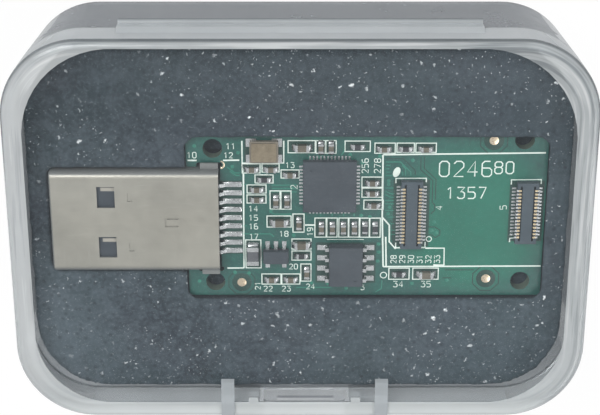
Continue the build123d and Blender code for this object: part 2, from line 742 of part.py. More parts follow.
with BuildPart() as capacitor_ends:
    chip_ends(small_size, small_capacitors)
    chip_ends(middle_size, middle_capacitors)
capacitor_ends.part.label = "capacitor_ends"
export_step(capacitor_ends.part, "parts/capacitor_ends.step")

with BuildPart() as resistor_bodies:
    chip_bodies(flat_size, small_resistors)
resistor_bodies.part.label = "resistor_bodies"
export_step(resistor_bodies.part, "parts/resistor_bodies.step")

with BuildPart() as resistor_ends:
    chip_ends(flat_size, small_resistors)
resistor_ends.part.label = "resistor_ends"
export_step(resistor_ends.part, "parts/resistor_ends.step")

bead_spot = [(*bead_from_plug, 1)]
with BuildPart() as ferrite_bead:
    chip_bodies(large_size, bead_spot)
ferrite_bead.part.label = "ferrite_bead"
export_step(ferrite_bead.part, "parts/ferrite_bead.step")

with BuildPart() as ferrite_ends:
    chip_ends(large_size, bead_spot)
ferrite_ends.part.label = "ferrite_ends"
export_step(ferrite_ends.part, "parts/ferrite_ends.step")


# ================================================================ board-to-board headers
for header_name, header_at, contact_count in (("header_a", header_a_at, header_a_contacts),
                                              ("header_b", header_b_at, header_b_contacts)):
    header_x, header_y = header_at
    housing_length = (contact_count - 1) * header_pitch + 2 * header_end
    groove = header_width / 2 - header_wall - header_island / 2
    groove_offset = header_island / 2 + groove / 2
    header_top_z = board_top_z + header_height
    # housing: side walls, a groove on each side and an island between them
    with BuildPart() as housing:
        with BuildSketch(Plane.XY.offset(board_top_z)):
            with Locations((header_x, header_y)):
                Rectangle(header_width, housing_length)
        extrude(amount=header_height)
        with BuildSketch(Plane.XY.offset(header_top_z)):
            with Locations((header_x - groove_offset, header_y), (header_x + groove_offset, header_y)):
                Rectangle(groove, housing_length - 2 * header_groove_end)
        extrude(amount=header_base - header_height, mode=Mode.SUBTRACT)
    housing.part.label = header_name + "_housing"
    export_step(housing.part, "parts/" + header_name + "_housing.step")
    # contacts: a foot on the board, up the outside of the wall and over it to the groove
    with BuildPart() as contacts:
        for side in (-1, 1):
            outer = header_x + side * header_width / 2
            inner = outer - side * header_wall
            thick = side * contact_sheet
            for index in range(contact_count):
                blade_y = header_y + (index - (contact_count - 1) / 2) * header_pitch
                with BuildSketch(Plane.XZ.offset(-blade_y - contact_blade / 2)):
                    with BuildLine():
                        Polyline((outer, board_top_z), (outer, header_top_z), (inner - thick, header_top_z),
                                 (inner - thick, header_top_z + contact_sheet),
                                 (outer + thick, header_top_z + contact_sheet),
                                 (outer + thick, board_top_z + contact_sheet),
                                 (outer + side * contact_foot, board_top_z + contact_sheet),
                                 (outer + side * contact_foot, board_top_z), close=True)
                    make_face()
                extrude(amount=contact_blade)
    contacts.part.label = header_name + "_contacts"
    export_step(contacts.part, "parts/" + header_name + "_contacts.step")
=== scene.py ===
import bpy
import bmesh
import math
from mathutils import Matrix, Vector


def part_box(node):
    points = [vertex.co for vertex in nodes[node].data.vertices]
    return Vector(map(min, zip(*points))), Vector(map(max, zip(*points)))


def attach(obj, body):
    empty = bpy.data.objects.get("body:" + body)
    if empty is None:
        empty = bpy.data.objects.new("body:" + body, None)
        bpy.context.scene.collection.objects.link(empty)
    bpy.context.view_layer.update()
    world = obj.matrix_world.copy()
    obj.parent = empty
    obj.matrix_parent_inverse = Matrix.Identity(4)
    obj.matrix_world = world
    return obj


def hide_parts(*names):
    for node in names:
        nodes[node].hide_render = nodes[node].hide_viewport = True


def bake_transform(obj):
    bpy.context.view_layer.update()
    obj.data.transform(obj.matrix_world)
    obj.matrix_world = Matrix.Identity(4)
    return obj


# A USB microcontroller programmer lying in the foam of its clear hinged case.
# Lengths are in millimetres, but for the lamps and the floor, and become metres through MM. X runs along
# the case, the plug points to -X, the hinge is at +Y and the case stands on the floor at z = 0.

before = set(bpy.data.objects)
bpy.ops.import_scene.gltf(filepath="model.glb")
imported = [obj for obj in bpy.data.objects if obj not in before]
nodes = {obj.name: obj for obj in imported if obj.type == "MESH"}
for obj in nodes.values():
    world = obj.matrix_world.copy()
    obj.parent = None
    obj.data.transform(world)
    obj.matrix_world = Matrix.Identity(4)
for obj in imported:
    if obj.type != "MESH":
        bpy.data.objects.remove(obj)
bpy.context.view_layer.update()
MM = 0.001

# ---------------------------------------------------------------- places taken from the drawing
BOARD_TOP = 15.8
LID_TOP = 20.0
LID_UNDERSIDE = 18.8
FLOOR_TOP = 1.2                 # the inside floor of the case
PLUG_Y = 0.85

# ---------------------------------------------------------------- camera
CAMERA_LENS = 87.57
SENSOR_WIDTH = 36.0
CAMERA_PLACE = (-0.03, 60.415, 170.27)
CAMERA_TILT = -20.695           # degrees from looking straight down


def place_object(name, data):
    """Puts a new object that holds this mesh, curve, lamp or camera in the scene."""
    holder = bpy.data.objects.new(name, data)
    bpy.context.scene.collection.objects.link(holder)
    return holder


def set_camera():
    data = bpy.data.cameras.new("bench_camera")
    data.lens = CAMERA_LENS
    data.sensor_width = SENSOR_WIDTH
    data.clip_start = 0.01
    camera = place_object("bench_camera", data)
    camera.location = [length * MM for length in CAMERA_PLACE]
    camera.rotation_euler = (math.radians(CAMERA_TILT), 0.0, 0.0)
    bpy.context.scene.camera = camera


set_camera()


# ---------------------------------------------------------------- node helpers
class Tree:
    """Short names for building a node tree."""

    def __init__(self, tree):
        self.tree = tree

    def add(self, kind, **settings):
        node = self.tree.nodes.new(kind)
        for key, value in settings.items():
            setattr(node, key, value)
        return node

    def link(self, source, target):
        self.tree.links.new(source, target)

    def put(self, socket, value):
        """A number, a colour or another socket goes into this socket."""
        if isinstance(value, bpy.types.NodeSocket):
            self.link(value, socket)
        else:
            socket.default_value = value

    def math(self, operation, first, second=0.0, clamp=False):
        node = self.add("ShaderNodeMath", operation=operation, use_clamp=clamp)
        self.put(node.inputs[0], first)
        self.put(node.inputs[1], second)
        return node.outputs[0]

    def times(self, first, second, clamp=False):
        return self.math("MULTIPLY", first, second, clamp)

    def distance(self, value, place):
        """How far a coordinate is from a place, to either side."""
        return self.math("ABSOLUTE", self.math("SUBTRACT", value, place))

    def mix(self, amount, first, second):
        node = self.add("ShaderNodeMix", data_type="RGBA")
        self.put(node.inputs[0], amount)
        self.put(node.inputs[6], first)
        self.put(node.inputs[7], second)
        return node.outputs[2]

    def ramp(self, value, low, high, out_low=0.0, out_high=1.0):
        node = self.add("ShaderNodeMapRange", clamp=True)
        self.put(node.inputs[0], value)
        self.put(node.inputs[1], low)
        self.put(node.inputs[2], high)
        self.put(node.inputs[3], out_low)
        self.put(node.inputs[4], out_high)
        return node.outputs[0]

    def here(self, scale=(1, 1, 1)):
        """Object coordinates in millimetres, stretched by scale."""
        where = self.add("ShaderNodeTexCoord")
        mapping = self.add("ShaderNodeMapping")
        mapping.inputs["Scale"].default_value = tuple(s / MM for s in scale)
        self.link(where.outputs["Object"], mapping.inputs["Vector"])
        return mapping.outputs[0]

    def split(self, vector):
        """The x, y and z of a vector."""
        node = self.add("ShaderNodeSeparateXYZ")
        self.link(vector, node.inputs[0])
        return node.outputs

    def upward(self):
        """How level the surface is: 1 facing straight up or down, 0 upright."""
        geometry = self.add("ShaderNodeNewGeometry")
        return self.math("ABSOLUTE", self.split(geometry.outputs["Normal"])[2])

    def noise(self, vector, scale, detail=3.0, rough=0.5):
        node = self.add("ShaderNodeTexNoise")
        self.put(node.inputs["Vector"], vector)
        self.put(node.inputs["Scale"], scale)
        self.put(node.inputs["Detail"], detail)
        self.put(node.inputs["Roughness"], rough)
        return node.outputs[0]

    def cells(self, vector, scale):
        node = self.add("ShaderNodeTexVoronoi", feature="F1")
        self.put(node.inputs["Vector"], vector)
        self.put(node.inputs["Scale"], scale)
        return node.outputs


def rgb(red, green, blue):
    """A colour as it looks on a screen, 0 to 255, as the linear colour that a shader takes."""
    def linear(value):
        value = value / 255
        return value / 12.92 if value <= 0.04045 else ((value + 0.055) / 1.055) ** 2.4
    return (linear(red), linear(green), linear(blue), 1.0)


def new_group(name, inputs, outputs):
    """A shader node group with named sockets; an input is (name, kind, default)."""
    group = bpy.data.node_groups.new(name, "ShaderNodeTree")
    for label, kind, default in inputs:
        socket = group.interface.new_socket(label, in_out="INPUT", socket_type="NodeSocket" + kind)
        socket.default_value = default
    for label, kind in outputs:
        group.interface.new_socket(label, in_out="OUTPUT", socket_type="NodeSocket" + kind)
    tree = Tree(group)
    return group, tree, tree.add("NodeGroupInput").outputs, tree.add("NodeGroupOutput").inputs


def patches_group():
    """Soft patches between two colours."""
    group, t, given, out = new_group(
        "soft_patches",
        [("Dark", "Color", (0, 0, 0, 1)), ("Light", "Color", (1, 1, 1, 1)), ("Scale", "Float", 1.0),
         ("Contrast", "Float", 0.5)],
        [("Color", "Color")])
    spot = t.noise(t.here(), given["Scale"], 4.0, 0.55)
    half = t.times(given["Contrast"], 0.5)
    mask = t.ramp(spot, t.math("SUBTRACT", 0.5, half), t.math("ADD", 0.5, half))
    t.put(out["Color"], t.mix(mask, given["Dark"], given["Light"]))
    return group


def grain_group():
    """Fine surface grain: an uneven roughness and a height for the bump."""
    group, t, given, out = new_group(
        "fine_grain",
        [("Scale", "Float", 4.0), ("Smooth", "Float", 0.2), ("Rough", "Float", 0.4)],
        [("Roughness", "Float"), ("Height", "Float")])
    fine = t.noise(t.here(), given["Scale"], 5.0, 0.6)
    broad = t.noise(t.here(), t.times(given["Scale"], 0.17), 2.0, 0.5)
    both = t.times(t.math("ADD", fine, broad), 0.5)
    t.put(out["Roughness"], t.ramp(both, 0.35, 0.65, given["Smooth"], given["Rough"]))
    t.put(out["Height"], fine)
    return group


def specks_group():
    """Scattered small specks of dust or fibre."""
    group, t, given, out = new_group(
        "scattered_specks",
        [("Scale", "Float", 2.0), ("Size", "Float", 0.1), ("Share", "Float", 0.5)],
        [("Mask", "Float")])
    jitter = t.add("ShaderNodeTexNoise")
    t.put(jitter.inputs["Vector"], t.here())
    t.put(jitter.inputs["Scale"], 1.7)
    warp = t.add("ShaderNodeVectorMath", operation="ADD")
    t.link(t.here(), warp.inputs[0])
    t.link(jitter.outputs["Color"], warp.inputs[1])
    cell = t.cells(warp.outputs[0], given["Scale"])
    near = t.ramp(cell["Distance"], t.times(given["Size"], 0.35), given["Size"], 1.0, 0.0)
    pick = t.add("ShaderNodeSeparateColor")
    t.link(cell["Color"], pick.inputs[0])
    kept = t.math("LESS_THAN", pick.outputs[0], given["Share"])
    bright = t.ramp(pick.outputs[1], 0.0, 1.0, 0.25, 1.0)
    t.put(out["Mask"], t.times(t.times(near, kept), bright, clamp=True))
    return group


def scratches_group():
    """Fine long scratches along one direction and a few across it."""
    group, t, given, out = new_group(
        "fine_scratches",
        [("Scale", "Float", 3.0), ("Amount", "Float", 0.5)],
        [("Mask", "Float")])
    along = t.noise(t.here((0.06, 1.0, 1.0)), given["Scale"], 4.0, 0.7)
    across = t.noise(t.here((1.0, 0.05, 1.0)), t.times(given["Scale"], 0.6), 3.0, 0.6)
    both = t.math("MAXIMUM", t.ramp(along, 0.55, 0.8), t.ramp(across, 0.62, 0.85, 0.0, 0.7))
    t.put(out["Mask"], t.times(both, given["Amount"], clamp=True))
    return group


OUTLINE_STRAIGHT = (23.6, 13.6)     # half of each straight stretch of the lid's outline, along x and y
OUTLINE_ROUND = 8.9                 # radius of the outline's corners
REFLECTION_STRETCH = (0.07, 0.07, 1.9)  # the streaks run along the edge and are narrow across it


def rim_reflections_group():
    """Painted reflections, dark and light streaks that run round the edge of the lid by the distance from its
    outline, fainter towards the front; painted light at the left and a painted shade line along the back of
    the outline.
    """
    group, t, given, out = new_group("painted_rim_reflections", [("Scale", "Float", 1.0)],
                                     [("Dark", "Float"), ("Light", "Float"), ("Outline", "Float")])
    x, y = t.split(t.here())[:2]
    past_x, past_y = [t.math("MAXIMUM", t.math("SUBTRACT", t.math("ABSOLUTE", value), half), 0.0)
                      for value, half in zip((x, y), OUTLINE_STRAIGHT)]
    square = t.math("ADD", t.times(past_x, past_x), t.times(past_y, past_y))
    inset = t.math("SUBTRACT", OUTLINE_ROUND, t.math("SQRT", square))
    where = t.add("ShaderNodeCombineXYZ")
    for socket, value, stretch in zip(where.inputs, (x, y, inset), REFLECTION_STRETCH):
        t.put(socket, t.times(value, stretch))
    reflection_noise = t.noise(where.outputs[0], given["Scale"], 3.0, 0.55)
    strength = t.ramp(y, -16.0, -6.0, 0.35, 1.0)
    # painted light: the rim grows paler towards its left end
    painted_light_left = t.ramp(x, -24.0, -31.0, 0.0, 0.6)
    t.put(out["Dark"], t.times(t.ramp(reflection_noise, 0.46, 0.34), strength))
    t.put(out["Light"], t.math("MAXIMUM", painted_light_left, t.times(t.ramp(reflection_noise, 0.54, 0.66), strength)))
    # painted shade: a dark line just inside the outline, along the back
    t.put(out["Outline"], t.times(t.ramp(inset, 0.34, 0.16), t.ramp(y, 6.0, 12.0)))
    return group


SOFT_PATCHES = patches_group()
FINE_GRAIN = grain_group()
SPECKS = specks_group()
SCRATCHES = scratches_group()
RIM_REFLECTIONS = rim_reflections_group()


class Finish:
    """A material with one Principled shader and the shared groups."""

    SOCKETS = {"color": "Base Color", "roughness": "Roughness", "metallic": "Metallic", "ior": "IOR",
               "transmission": "Transmission Weight", "coat": "Coat Weight", "alpha": "Alpha",
               "coat_roughness": "Coat Roughness", "specular": "Specular IOR Level"}

    def __init__(self, name):
        self.material = bpy.data.materials.new(name)
        self.material.use_nodes = True
        self.t = Tree(self.material.node_tree)
        self.t.tree.nodes.clear()
        output = self.t.add("ShaderNodeOutputMaterial")
        self.shader = self.t.add("ShaderNodeBsdfPrincipled")
        self.t.link(self.shader.outputs[0], output.inputs["Surface"])

    def set(self, **values):
        for key, value in values.items():
            self.t.put(self.shader.inputs[self.SOCKETS[key]], value)

    def group(self, group, **values):
        node = self.t.add("ShaderNodeGroup", node_tree=group)
        for key, value in values.items():
            self.t.put(node.inputs[key], value)
        return node.outputs

    def patches(self, dark, light, scale, contrast):
        return self.group(SOFT_PATCHES, Dark=dark, Light=light, Scale=scale, Contrast=contrast)["Color"]

    def bump(self, height, strength, distance):
        node = self.t.add("ShaderNodeBump")
        node.inputs["Strength"].default_value = strength
        node.inputs["Distance"].default_value = distance * MM
        self.t.link(height, node.inputs["Height"])
        self.t.link(node.outputs[0], self.shader.inputs["Normal"])


def simple_finish(name, dark, light, patch_scale=0.8, contrast=0.5, grain_scale=6.0, smooth=0.35, rough=0.6,
                  metallic=0.0, bump=0.15, bump_depth=0.02):
    """Patches of two close colours, uneven roughness and a fine grain."""
    finish = Finish(name)
    grain = finish.group(FINE_GRAIN, Scale=grain_scale, Smooth=smooth, Rough=rough)
    finish.set(color=finish.patches(dark, light, patch_scale, contrast), roughness=grain["Roughness"],
               metallic=metallic)
    finish.bump(grain["Height"], bump, bump_depth)
    return finish.material


# ---------------------------------------------------------------- finishes of the clear case
PLASTIC_IOR = 1.45
# colours of the rim's painted reflections and of its painted shade line
REFLECTION_DARK = rgb(150, 157, 161)
REFLECTION_LIGHT = rgb(252, 253, 253)
EDGE_SHADE_LINE = rgb(92, 99, 104)


def polished_plastic():
    """The flat top of the lid: clear, with a thin even haze and faint smears."""
    finish = Finish("polished_clear_plastic")
    t = finish.t
    haze = finish.patches(rgb(214, 224, 232), rgb(226, 234, 240), 0.12, 0.6)
    grain = finish.group(FINE_GRAIN, Scale=0.9, Smooth=0.04, Rough=0.09)
    smear = t.noise(t.here((0.05, 0.11, 1.0)), 1.0, 3.0, 0.6)
    finish.set(color=haze, roughness=grain["Roughness"], alpha=t.ramp(smear, 0.3, 0.7, 0.012, 0.03),
               ior=PLASTIC_IOR)
    finish.bump(grain["Height"], 0.05, 0.05)
    return finish.material


def cloudy_plastic(name, dark, light, transmission, smooth=0.04, rough=0.12, zone=None, reflection_strength=0.0):
    """The walls and edges, where the plastic looks cloudy.

    zone is (axis, from, to, colour): the colour takes over as the place moves along that axis; in this script
    it paints light or shade. The last argument sets how much of the rim's painted reflections and painted
    shade line is laid on.
    """
    finish = Finish(name)
    t = finish.t
    color = finish.patches(dark, light, 0.2, 0.6)
    grain = finish.group(FINE_GRAIN, Scale=0.9, Smooth=smooth, Rough=rough)
    if reflection_strength:
        lines = finish.group(RIM_REFLECTIONS)
        for kind, shade in (("Dark", REFLECTION_DARK), ("Light", REFLECTION_LIGHT), ("Outline", EDGE_SHADE_LINE)):
            color = t.mix(t.times(lines[kind], reflection_strength), color, shade)
    if zone:
        axis, start, end, shade = zone
        color = t.mix(t.ramp(t.split(t.here())[axis], start, end), color, shade)
    finish.set(color=color, roughness=grain["Roughness"], transmission=transmission, ior=PLASTIC_IOR)
    finish.bump(grain["Height"], 0.06, 0.05)
    return finish.material


GROOVE_MIDDLE = 0.6             # the groove across the thumb pad: its middle in x
GROOVE_ENDS = (3.2, 3.5)        # where it starts to fade and is gone, from its middle
# heights of the groove's painted shadow and painted highlight
GROOVE_SHADOW_Z = 15.7
GROOVE_GLEAM_Z = 16.3


def latch_finish():
    """Frosted thumb pad, with a painted shadow and a painted highlight along the groove across it."""
    finish = Finish("frosted_latch_plastic")
    t = finish.t
    color = finish.patches(rgb(206, 208, 211), rgb(228, 230, 232), 0.6, 0.6)
    grain = finish.group(FINE_GRAIN, Scale=2.4, Smooth=0.5, Rough=0.75)
    x, _, z = t.split(t.here())
    inside = t.ramp(t.distance(x, GROOVE_MIDDLE), *GROOVE_ENDS, 1.0, 0.0)
    shadow = t.ramp(t.distance(z, GROOVE_SHADOW_Z), 0.15, 0.4, 0.85, 0.0)
    gleam = t.ramp(t.distance(z, GROOVE_GLEAM_Z), 0.15, 0.3, 1.0, 0.0)
    color = t.mix(t.times(shadow, inside), color, rgb(120, 123, 132))
    color = t.mix(t.times(gleam, inside), color, rgb(255, 255, 255))
    finish.set(color=color, roughness=grain["Roughness"], transmission=0.95, ior=PLASTIC_IOR)
    finish.bump(grain["Height"], 0.2, 0.05)
    return finish.material


# ---------------------------------------------------------------- finish of the foam
def foam_color(t, where, x, y):
    """Blotches, with painted light to the right and at the front left, painted shade at the back, and pits
    darkened with painted shade.
    """
    fine = t.noise(where, 2.2, 4.0, 0.55)
    broad = t.noise(where, 0.16, 3.0, 0.55)
    middle = t.noise(where, 0.55, 3.0, 0.6)
    tint = t.noise(where, 0.07, 2.0, 0.5)
    color = t.mix(t.ramp(broad, 0.36, 0.64), rgb(30, 39, 47), rgb(46, 55, 63))
    color = t.mix(t.ramp(tint, 0.42, 0.6, 0.0, 0.5), color, rgb(38, 56, 58))
    color = t.mix(t.ramp(middle, 0.42, 0.72, 0.0, 0.6), color, rgb(74, 84, 91))
    color = t.mix(t.ramp(fine, 0.45, 0.75, 0.0, 0.45), color, rgb(82, 92, 99))
    # painted light towards the right, then painted shade towards the back
    color = t.mix(t.ramp(x, -26.0, 28.0, 0.0, 0.34), color, rgb(78, 92, 99))
    color = t.mix(t.ramp(y, 5.0, 13.0, 0.0, 0.3), color, rgb(24, 31, 38))
    # painted light at the front left
    painted_light_front_left = t.times(t.ramp(x, -16.0, -28.0), t.ramp(y, 0.0, -12.0))
    color = t.mix(t.times(painted_light_front_left, 0.4), color, rgb(96, 108, 116))
    # the pits are darkened with painted shade; they also sink the bump
    pit = t.ramp(t.cells(where, 1.1)["Distance"], 0.08, 0.34, 0.45, 0.0)
    return t.mix(pit, color, rgb(24, 31, 38)), t.math("ADD", fine, t.times(pit, -1.2))


def foam_dust(finish, where, x, y, z):
    """Pale dust of two sizes on the top, thicker in drifts, at the back and at the right."""
    t = finish.t
    drift = t.ramp(t.noise(where, 0.11, 2.0, 0.5), 0.40, 0.56, 0.25, 0.9)
    behind = t.times(t.ramp(y, 8.0, 20.0, 0.0, 0.5), t.ramp(x, -20.0, 5.0, -0.4, 1.0))
    drift = t.math("ADD", t.math("ADD", drift, behind), t.ramp(x, 8.0, 28.0, 0.0, 0.4))
    small = finish.group(SPECKS, Scale=2.3, Size=0.24, Share=0.5)["Mask"]
    large = finish.group(SPECKS, Scale=0.74, Size=0.168, Share=0.8)["Mask"]
    dust = t.math("MAXIMUM", t.times(small, 0.55), large)
    return t.times(t.times(dust, drift), t.ramp(z, 14.6, 15.8, 0.1, 1.0))


def foam_finish():
    """Dark closed-cell foam with shallow pits and pale dust."""
    finish = Finish("dark_foam")
    t = finish.t
    where = t.here()
    x, y, z = t.split(where)
    color, height = foam_color(t, where, x, y)
    finish.set(color=t.mix(foam_dust(finish, where, x, y, z), color, rgb(240, 244, 245)), roughness=0.85,
               specular=0.3)
    finish.bump(height, 0.4, 0.12)
    return finish.material


# ---------------------------------------------------------------- finishes of the programmer
BARE_MIDDLE = (19.3, 0.4)       # the bright bare part of the board: an oval round this place
BARE_REACH = (9.8, 9.6)


def board_finish():
    """Green solder mask: bright and bare to the right, darker over the crowded left and the edges."""
    finish = Finish("green_board")
    t = finish.t
    where = t.here()
    bare = finish.patches(rgb(3, 92, 74), rgb(8, 109, 88), 0.09, 0.5)
    crowded = finish.patches(rgb(19, 68, 63), rgb(28, 84, 76), 0.22, 0.6)
    off_x, off_y = [t.math("DIVIDE", t.math("SUBTRACT", value, middle), reach)
                    for value, middle, reach in zip(t.split(where), BARE_MIDDLE, BARE_REACH)]
    oval = t.math("ADD", t.times(off_x, off_x), t.times(off_y, off_y))
    weave = t.noise(where, 2.2, 3.0, 0.6)
    color = t.mix(t.ramp(oval, 0.45, 1.05), bare, crowded)
    color = t.mix(t.ramp(weave, 0.4, 0.7, 0.0, 0.2), color, rgb(34, 122, 100))
    color = t.mix(t.ramp(t.upward(), 0.4, 0.7), rgb(104, 118, 104), color)
    finish.set(color=color, roughness=0.32, coat=0.25, coat_roughness=0.15)
    finish.bump(weave, 0.08, 0.02)
    return finish.material


# below these heights the plug's shell is darkened with painted shade; above them the bright top starts
SHELL_FROM = (16.5, 16.9)       # the bright top of the plug's shell starts over these heights


def nickel_finish():
    """Satin nickel with fine scratches; the bends and the soldered tabs are less metallic and darkened with
    painted shade.
    """
    finish = Finish("nickel_plate")
    t = finish.t
    patches = finish.patches(rgb(162, 159, 149), rgb(184, 181, 170), 0.16, 0.6)
    lines = finish.group(SCRATCHES, Scale=5.0, Amount=0.35)["Mask"]
    grain = finish.group(FINE_GRAIN, Scale=5.0, Smooth=0.34, Rough=0.46)
    bright = t.times(t.ramp(t.upward(), 0.8, 0.995), t.ramp(t.split(t.here())[2], *SHELL_FROM))
    # painted shade: away from the flat top, the colour turns a darker grey
    color = t.mix(bright, rgb(118, 120, 118), t.mix(lines, patches, rgb(200, 197, 188)))
    finish.set(color=color, roughness=t.math("ADD", grain["Roughness"], t.times(lines, 0.12)),
               metallic=t.ramp(bright, 0.0, 1.0, 0.15, 1.0))
    finish.bump(t.math("ADD", grain["Height"], lines), 0.06, 0.02)
    return finish.material


GILT_HALF = (1.06, 1.12)        # from the middle of a header, gilt turns to tin over this stretch


def header_finish(name, middle):
    """Gilt where the contacts pass over the housing, tinned at their feet."""
    finish = Finish(name)
    t = finish.t
    out = t.distance(t.split(t.here())[0], middle)
    grain = finish.group(FINE_GRAIN, Scale=4.0, Smooth=0.2, Rough=0.38)
    finish.set(color=t.mix(t.ramp(out, *GILT_HALF), rgb(214, 196, 162), rgb(196, 198, 198)),
               roughness=grain["Roughness"], metallic=1.0)
    finish.bump(grain["Height"], 0.2, 0.02)
    return finish.material


def chip_finish():
    """Dull moulding compound with a few faint scuffs."""
    finish = Finish("chip_moulding")
    t = finish.t
    patches = finish.patches(rgb(48, 55, 62), rgb(57, 65, 72), 0.5, 0.5)
    scuffs = finish.group(SCRATCHES, Scale=2.2, Amount=0.3)["Mask"]
    grain = finish.group(FINE_GRAIN, Scale=7.0, Smooth=0.55, Rough=0.75)
    finish.set(color=t.mix(scuffs, patches, rgb(96, 102, 106)), roughness=grain["Roughness"])
    finish.bump(grain["Height"], 0.15, 0.02)
    return finish.material


# the painted highlight below each window of the plug
WINDOW_GLEAM_X = -21.55           # middle of the gleam below each window of the plug
WINDOWS_Y = 1.65                # the gleams lie to both sides of this line
WINDOW_GLEAM_OFF = 3.05


def insulator_finish():
    """Dark plastic tongue, with a painted highlight from each window's rim on it."""
    finish = Finish("plug_insulator_plastic")
    t = finish.t
    patches = finish.patches(rgb(38, 46, 54), rgb(50, 58, 66), 0.5, 0.5)
    grain = finish.group(FINE_GRAIN, Scale=6.0, Smooth=0.4, Rough=0.6)
    x, y = t.split(t.here())[:2]
    along = t.distance(x, WINDOW_GLEAM_X)
    across = t.distance(t.distance(y, WINDOWS_Y), WINDOW_GLEAM_OFF)
    gleam = t.times(t.ramp(along, 0.72, 0.86, 1.0, 0.0), t.ramp(across, 0.16, 0.26, 1.0, 0.0))
    finish.set(color=t.mix(gleam, patches, rgb(156, 152, 142)), roughness=grain["Roughness"])
    finish.bump(grain["Height"], 0.15, 0.02)
    return finish.material


# ---------------------------------------------------------------- all finishes
POLISHED = polished_plastic()
# the lid's plastic; below z 14.5 its colour darkens into a painted shadow along the parting line
LID_EDGE = cloudy_plastic("cloudy_lid_plastic", rgb(216, 221, 223), rgb(228, 232, 234), 0.52,
                          zone=(2, 14.5, 14.2, rgb(150, 156, 160)))
# the rim's plastic, with painted reflections round the edge and painted light that whitens it towards the
# front
LID_RIM = cloudy_plastic("cloudy_rim_plastic", rgb(204, 209, 210), rgb(220, 224, 224), 0.55, 0.06, 0.16,
                         zone=(1, -20.0, -21.8, rgb(250, 254, 253)), reflection_strength=0.8)
# the ribs' plastic: a darker copy of the rim's plastic, as painted shade
RIB = cloudy_plastic("cloudy_rib_plastic", rgb(184, 190, 193), rgb(194, 199, 202), 0.45, 0.05, 0.12)
LATCH_WINDOW = cloudy_plastic("clear_wall_plastic", rgb(228, 232, 234), rgb(238, 241, 242), 0.93, 0.01, 0.03)
LATCH_PAD = latch_finish()
LATCH_TAB = cloudy_plastic("cloudy_tab_plastic", rgb(212, 217, 219), rgb(224, 228, 230), 0.55)
BASE_WALL = cloudy_plastic("cloudy_base_plastic", rgb(212, 217, 220), rgb(226, 230, 232), 0.68)
# the base's back wall: a darker copy of the base's plastic, as painted shade
SHADED_BASE_BACK = cloudy_plastic("shaded_back_base_plastic", rgb(134, 140, 146), rgb(146, 151, 156), 0.4, 0.16, 0.28)
FOAM = foam_finish()
BOARD = board_finish()
NICKEL = nickel_finish()
TIN = simple_finish("bright_tin", rgb(176, 178, 178), rgb(216, 218, 218), patch_scale=1.4, contrast=0.6,
                    grain_scale=4.0, smooth=0.16, rough=0.34, metallic=1.0, bump=0.3, bump_depth=0.03)
GOLD = simple_finish("pale_gold", rgb(206, 186, 158), rgb(226, 210, 186), patch_scale=1.2, contrast=0.6,
                     grain_scale=5.0, smooth=0.22, rough=0.36, metallic=1.0, bump=0.2)
CERAMIC = simple_finish("crystal_ceramic", rgb(104, 98, 86), rgb(126, 118, 104), patch_scale=0.9,
                        grain_scale=5.0, smooth=0.4)
LID_METAL = simple_finish("crystal_lid_metal", rgb(134, 122, 102), rgb(164, 152, 130), patch_scale=1.6,
                          smooth=0.3, rough=0.45, metallic=1.0)
CHIP_BLACK = chip_finish()
CAPACITOR = simple_finish("capacitor_ceramic", rgb(78, 74, 64), rgb(104, 98, 84), patch_scale=1.1, smooth=0.4)
RESISTOR = simple_finish("resistor_top", rgb(34, 36, 40), rgb(46, 48, 52), patch_scale=1.1, rough=0.55)
FERRITE = simple_finish("ferrite_block", rgb(70, 72, 76), rgb(92, 94, 98), patch_scale=0.9, grain_scale=5.0,
                        smooth=0.4)
HOUSING = simple_finish("header_housing", rgb(54, 66, 74), rgb(64, 76, 84), grain_scale=7.0, smooth=0.45,
                        rough=0.65)
INSULATOR = insulator_finish()
PRINT = simple_finish("board_print_ink", rgb(206, 220, 210), rgb(226, 236, 228), patch_scale=0.9,
                      contrast=0.6, grain_scale=8.0, smooth=0.5, rough=0.7)
TRACK = simple_finish("board_track_green", rgb(34, 106, 90), rgb(44, 122, 102), patch_scale=0.6,
                      grain_scale=5.0, smooth=0.28, rough=0.4)
# dark green for the gaps and fiducial grounds, and for the beds, where it is partly painted shade
BED = simple_finish("board_bare_green_and_shade", rgb(20, 52, 46), rgb(30, 68, 58), smooth=0.4)

FINISHES = {
    "case_base": BASE_WALL, "case_lid": LID_EDGE, "living_hinge": LID_EDGE,
    "circuit_board": BOARD,
    "plug_shell": NICKEL, "plug_insulator": INSULATOR, "plug_contacts": TIN,
    "crystal_lands": TIN, "crystal_can": CERAMIC, "crystal_lid": LID_METAL,
    "controller_body": CHIP_BLACK, "controller_pads": TIN,
    "memory_body": CHIP_BLACK, "memory_leads": TIN,
    "regulator_body": CHIP_BLACK, "regulator_leads": TIN,
    "capacitor_bodies": CAPACITOR, "capacitor_ends": TIN,
    "resistor_bodies": RESISTOR, "resistor_ends": TIN,
    "ferrite_bead": FERRITE, "ferrite_ends": TIN,
    "header_a_housing": HOUSING, "header_a_contacts": header_finish("header_a_gilt", 12.55),
    "header_b_housing": HOUSING, "header_b_contacts": header_finish("header_b_gilt", 25.55),
}
for node_name, material in FINISHES.items():
    data = nodes[node_name].data
    data.materials.clear()
    data.materials.append(material)


# ---------------------------------------------------------------- mesh helpers
# the places of the plastics in a moulding's list of materials
WALL, CLEAR, EDGE, BACK, RIBS, WINDOW, PAD, TAB = range(8)
FLAT_ENOUGH = 0.998             # a face whose normal is this near an axis belongs to a flat wall
SPOT_EDGE = 0.3                 # the bevel of a spot's edge, as a share of its rise


def mesh_from(name, bm):
    """Ends a bmesh as a mesh."""
    mesh = bpy.data.meshes.new(name)
    bm.to_mesh(mesh)
    bm.free()
    return mesh


def is_flat(face):
    """A rib or a flat wall of a moulding."""
    return face.material_index == RIBS or max(abs(part) for part in face.normal) >= FLAT_ENOUGH


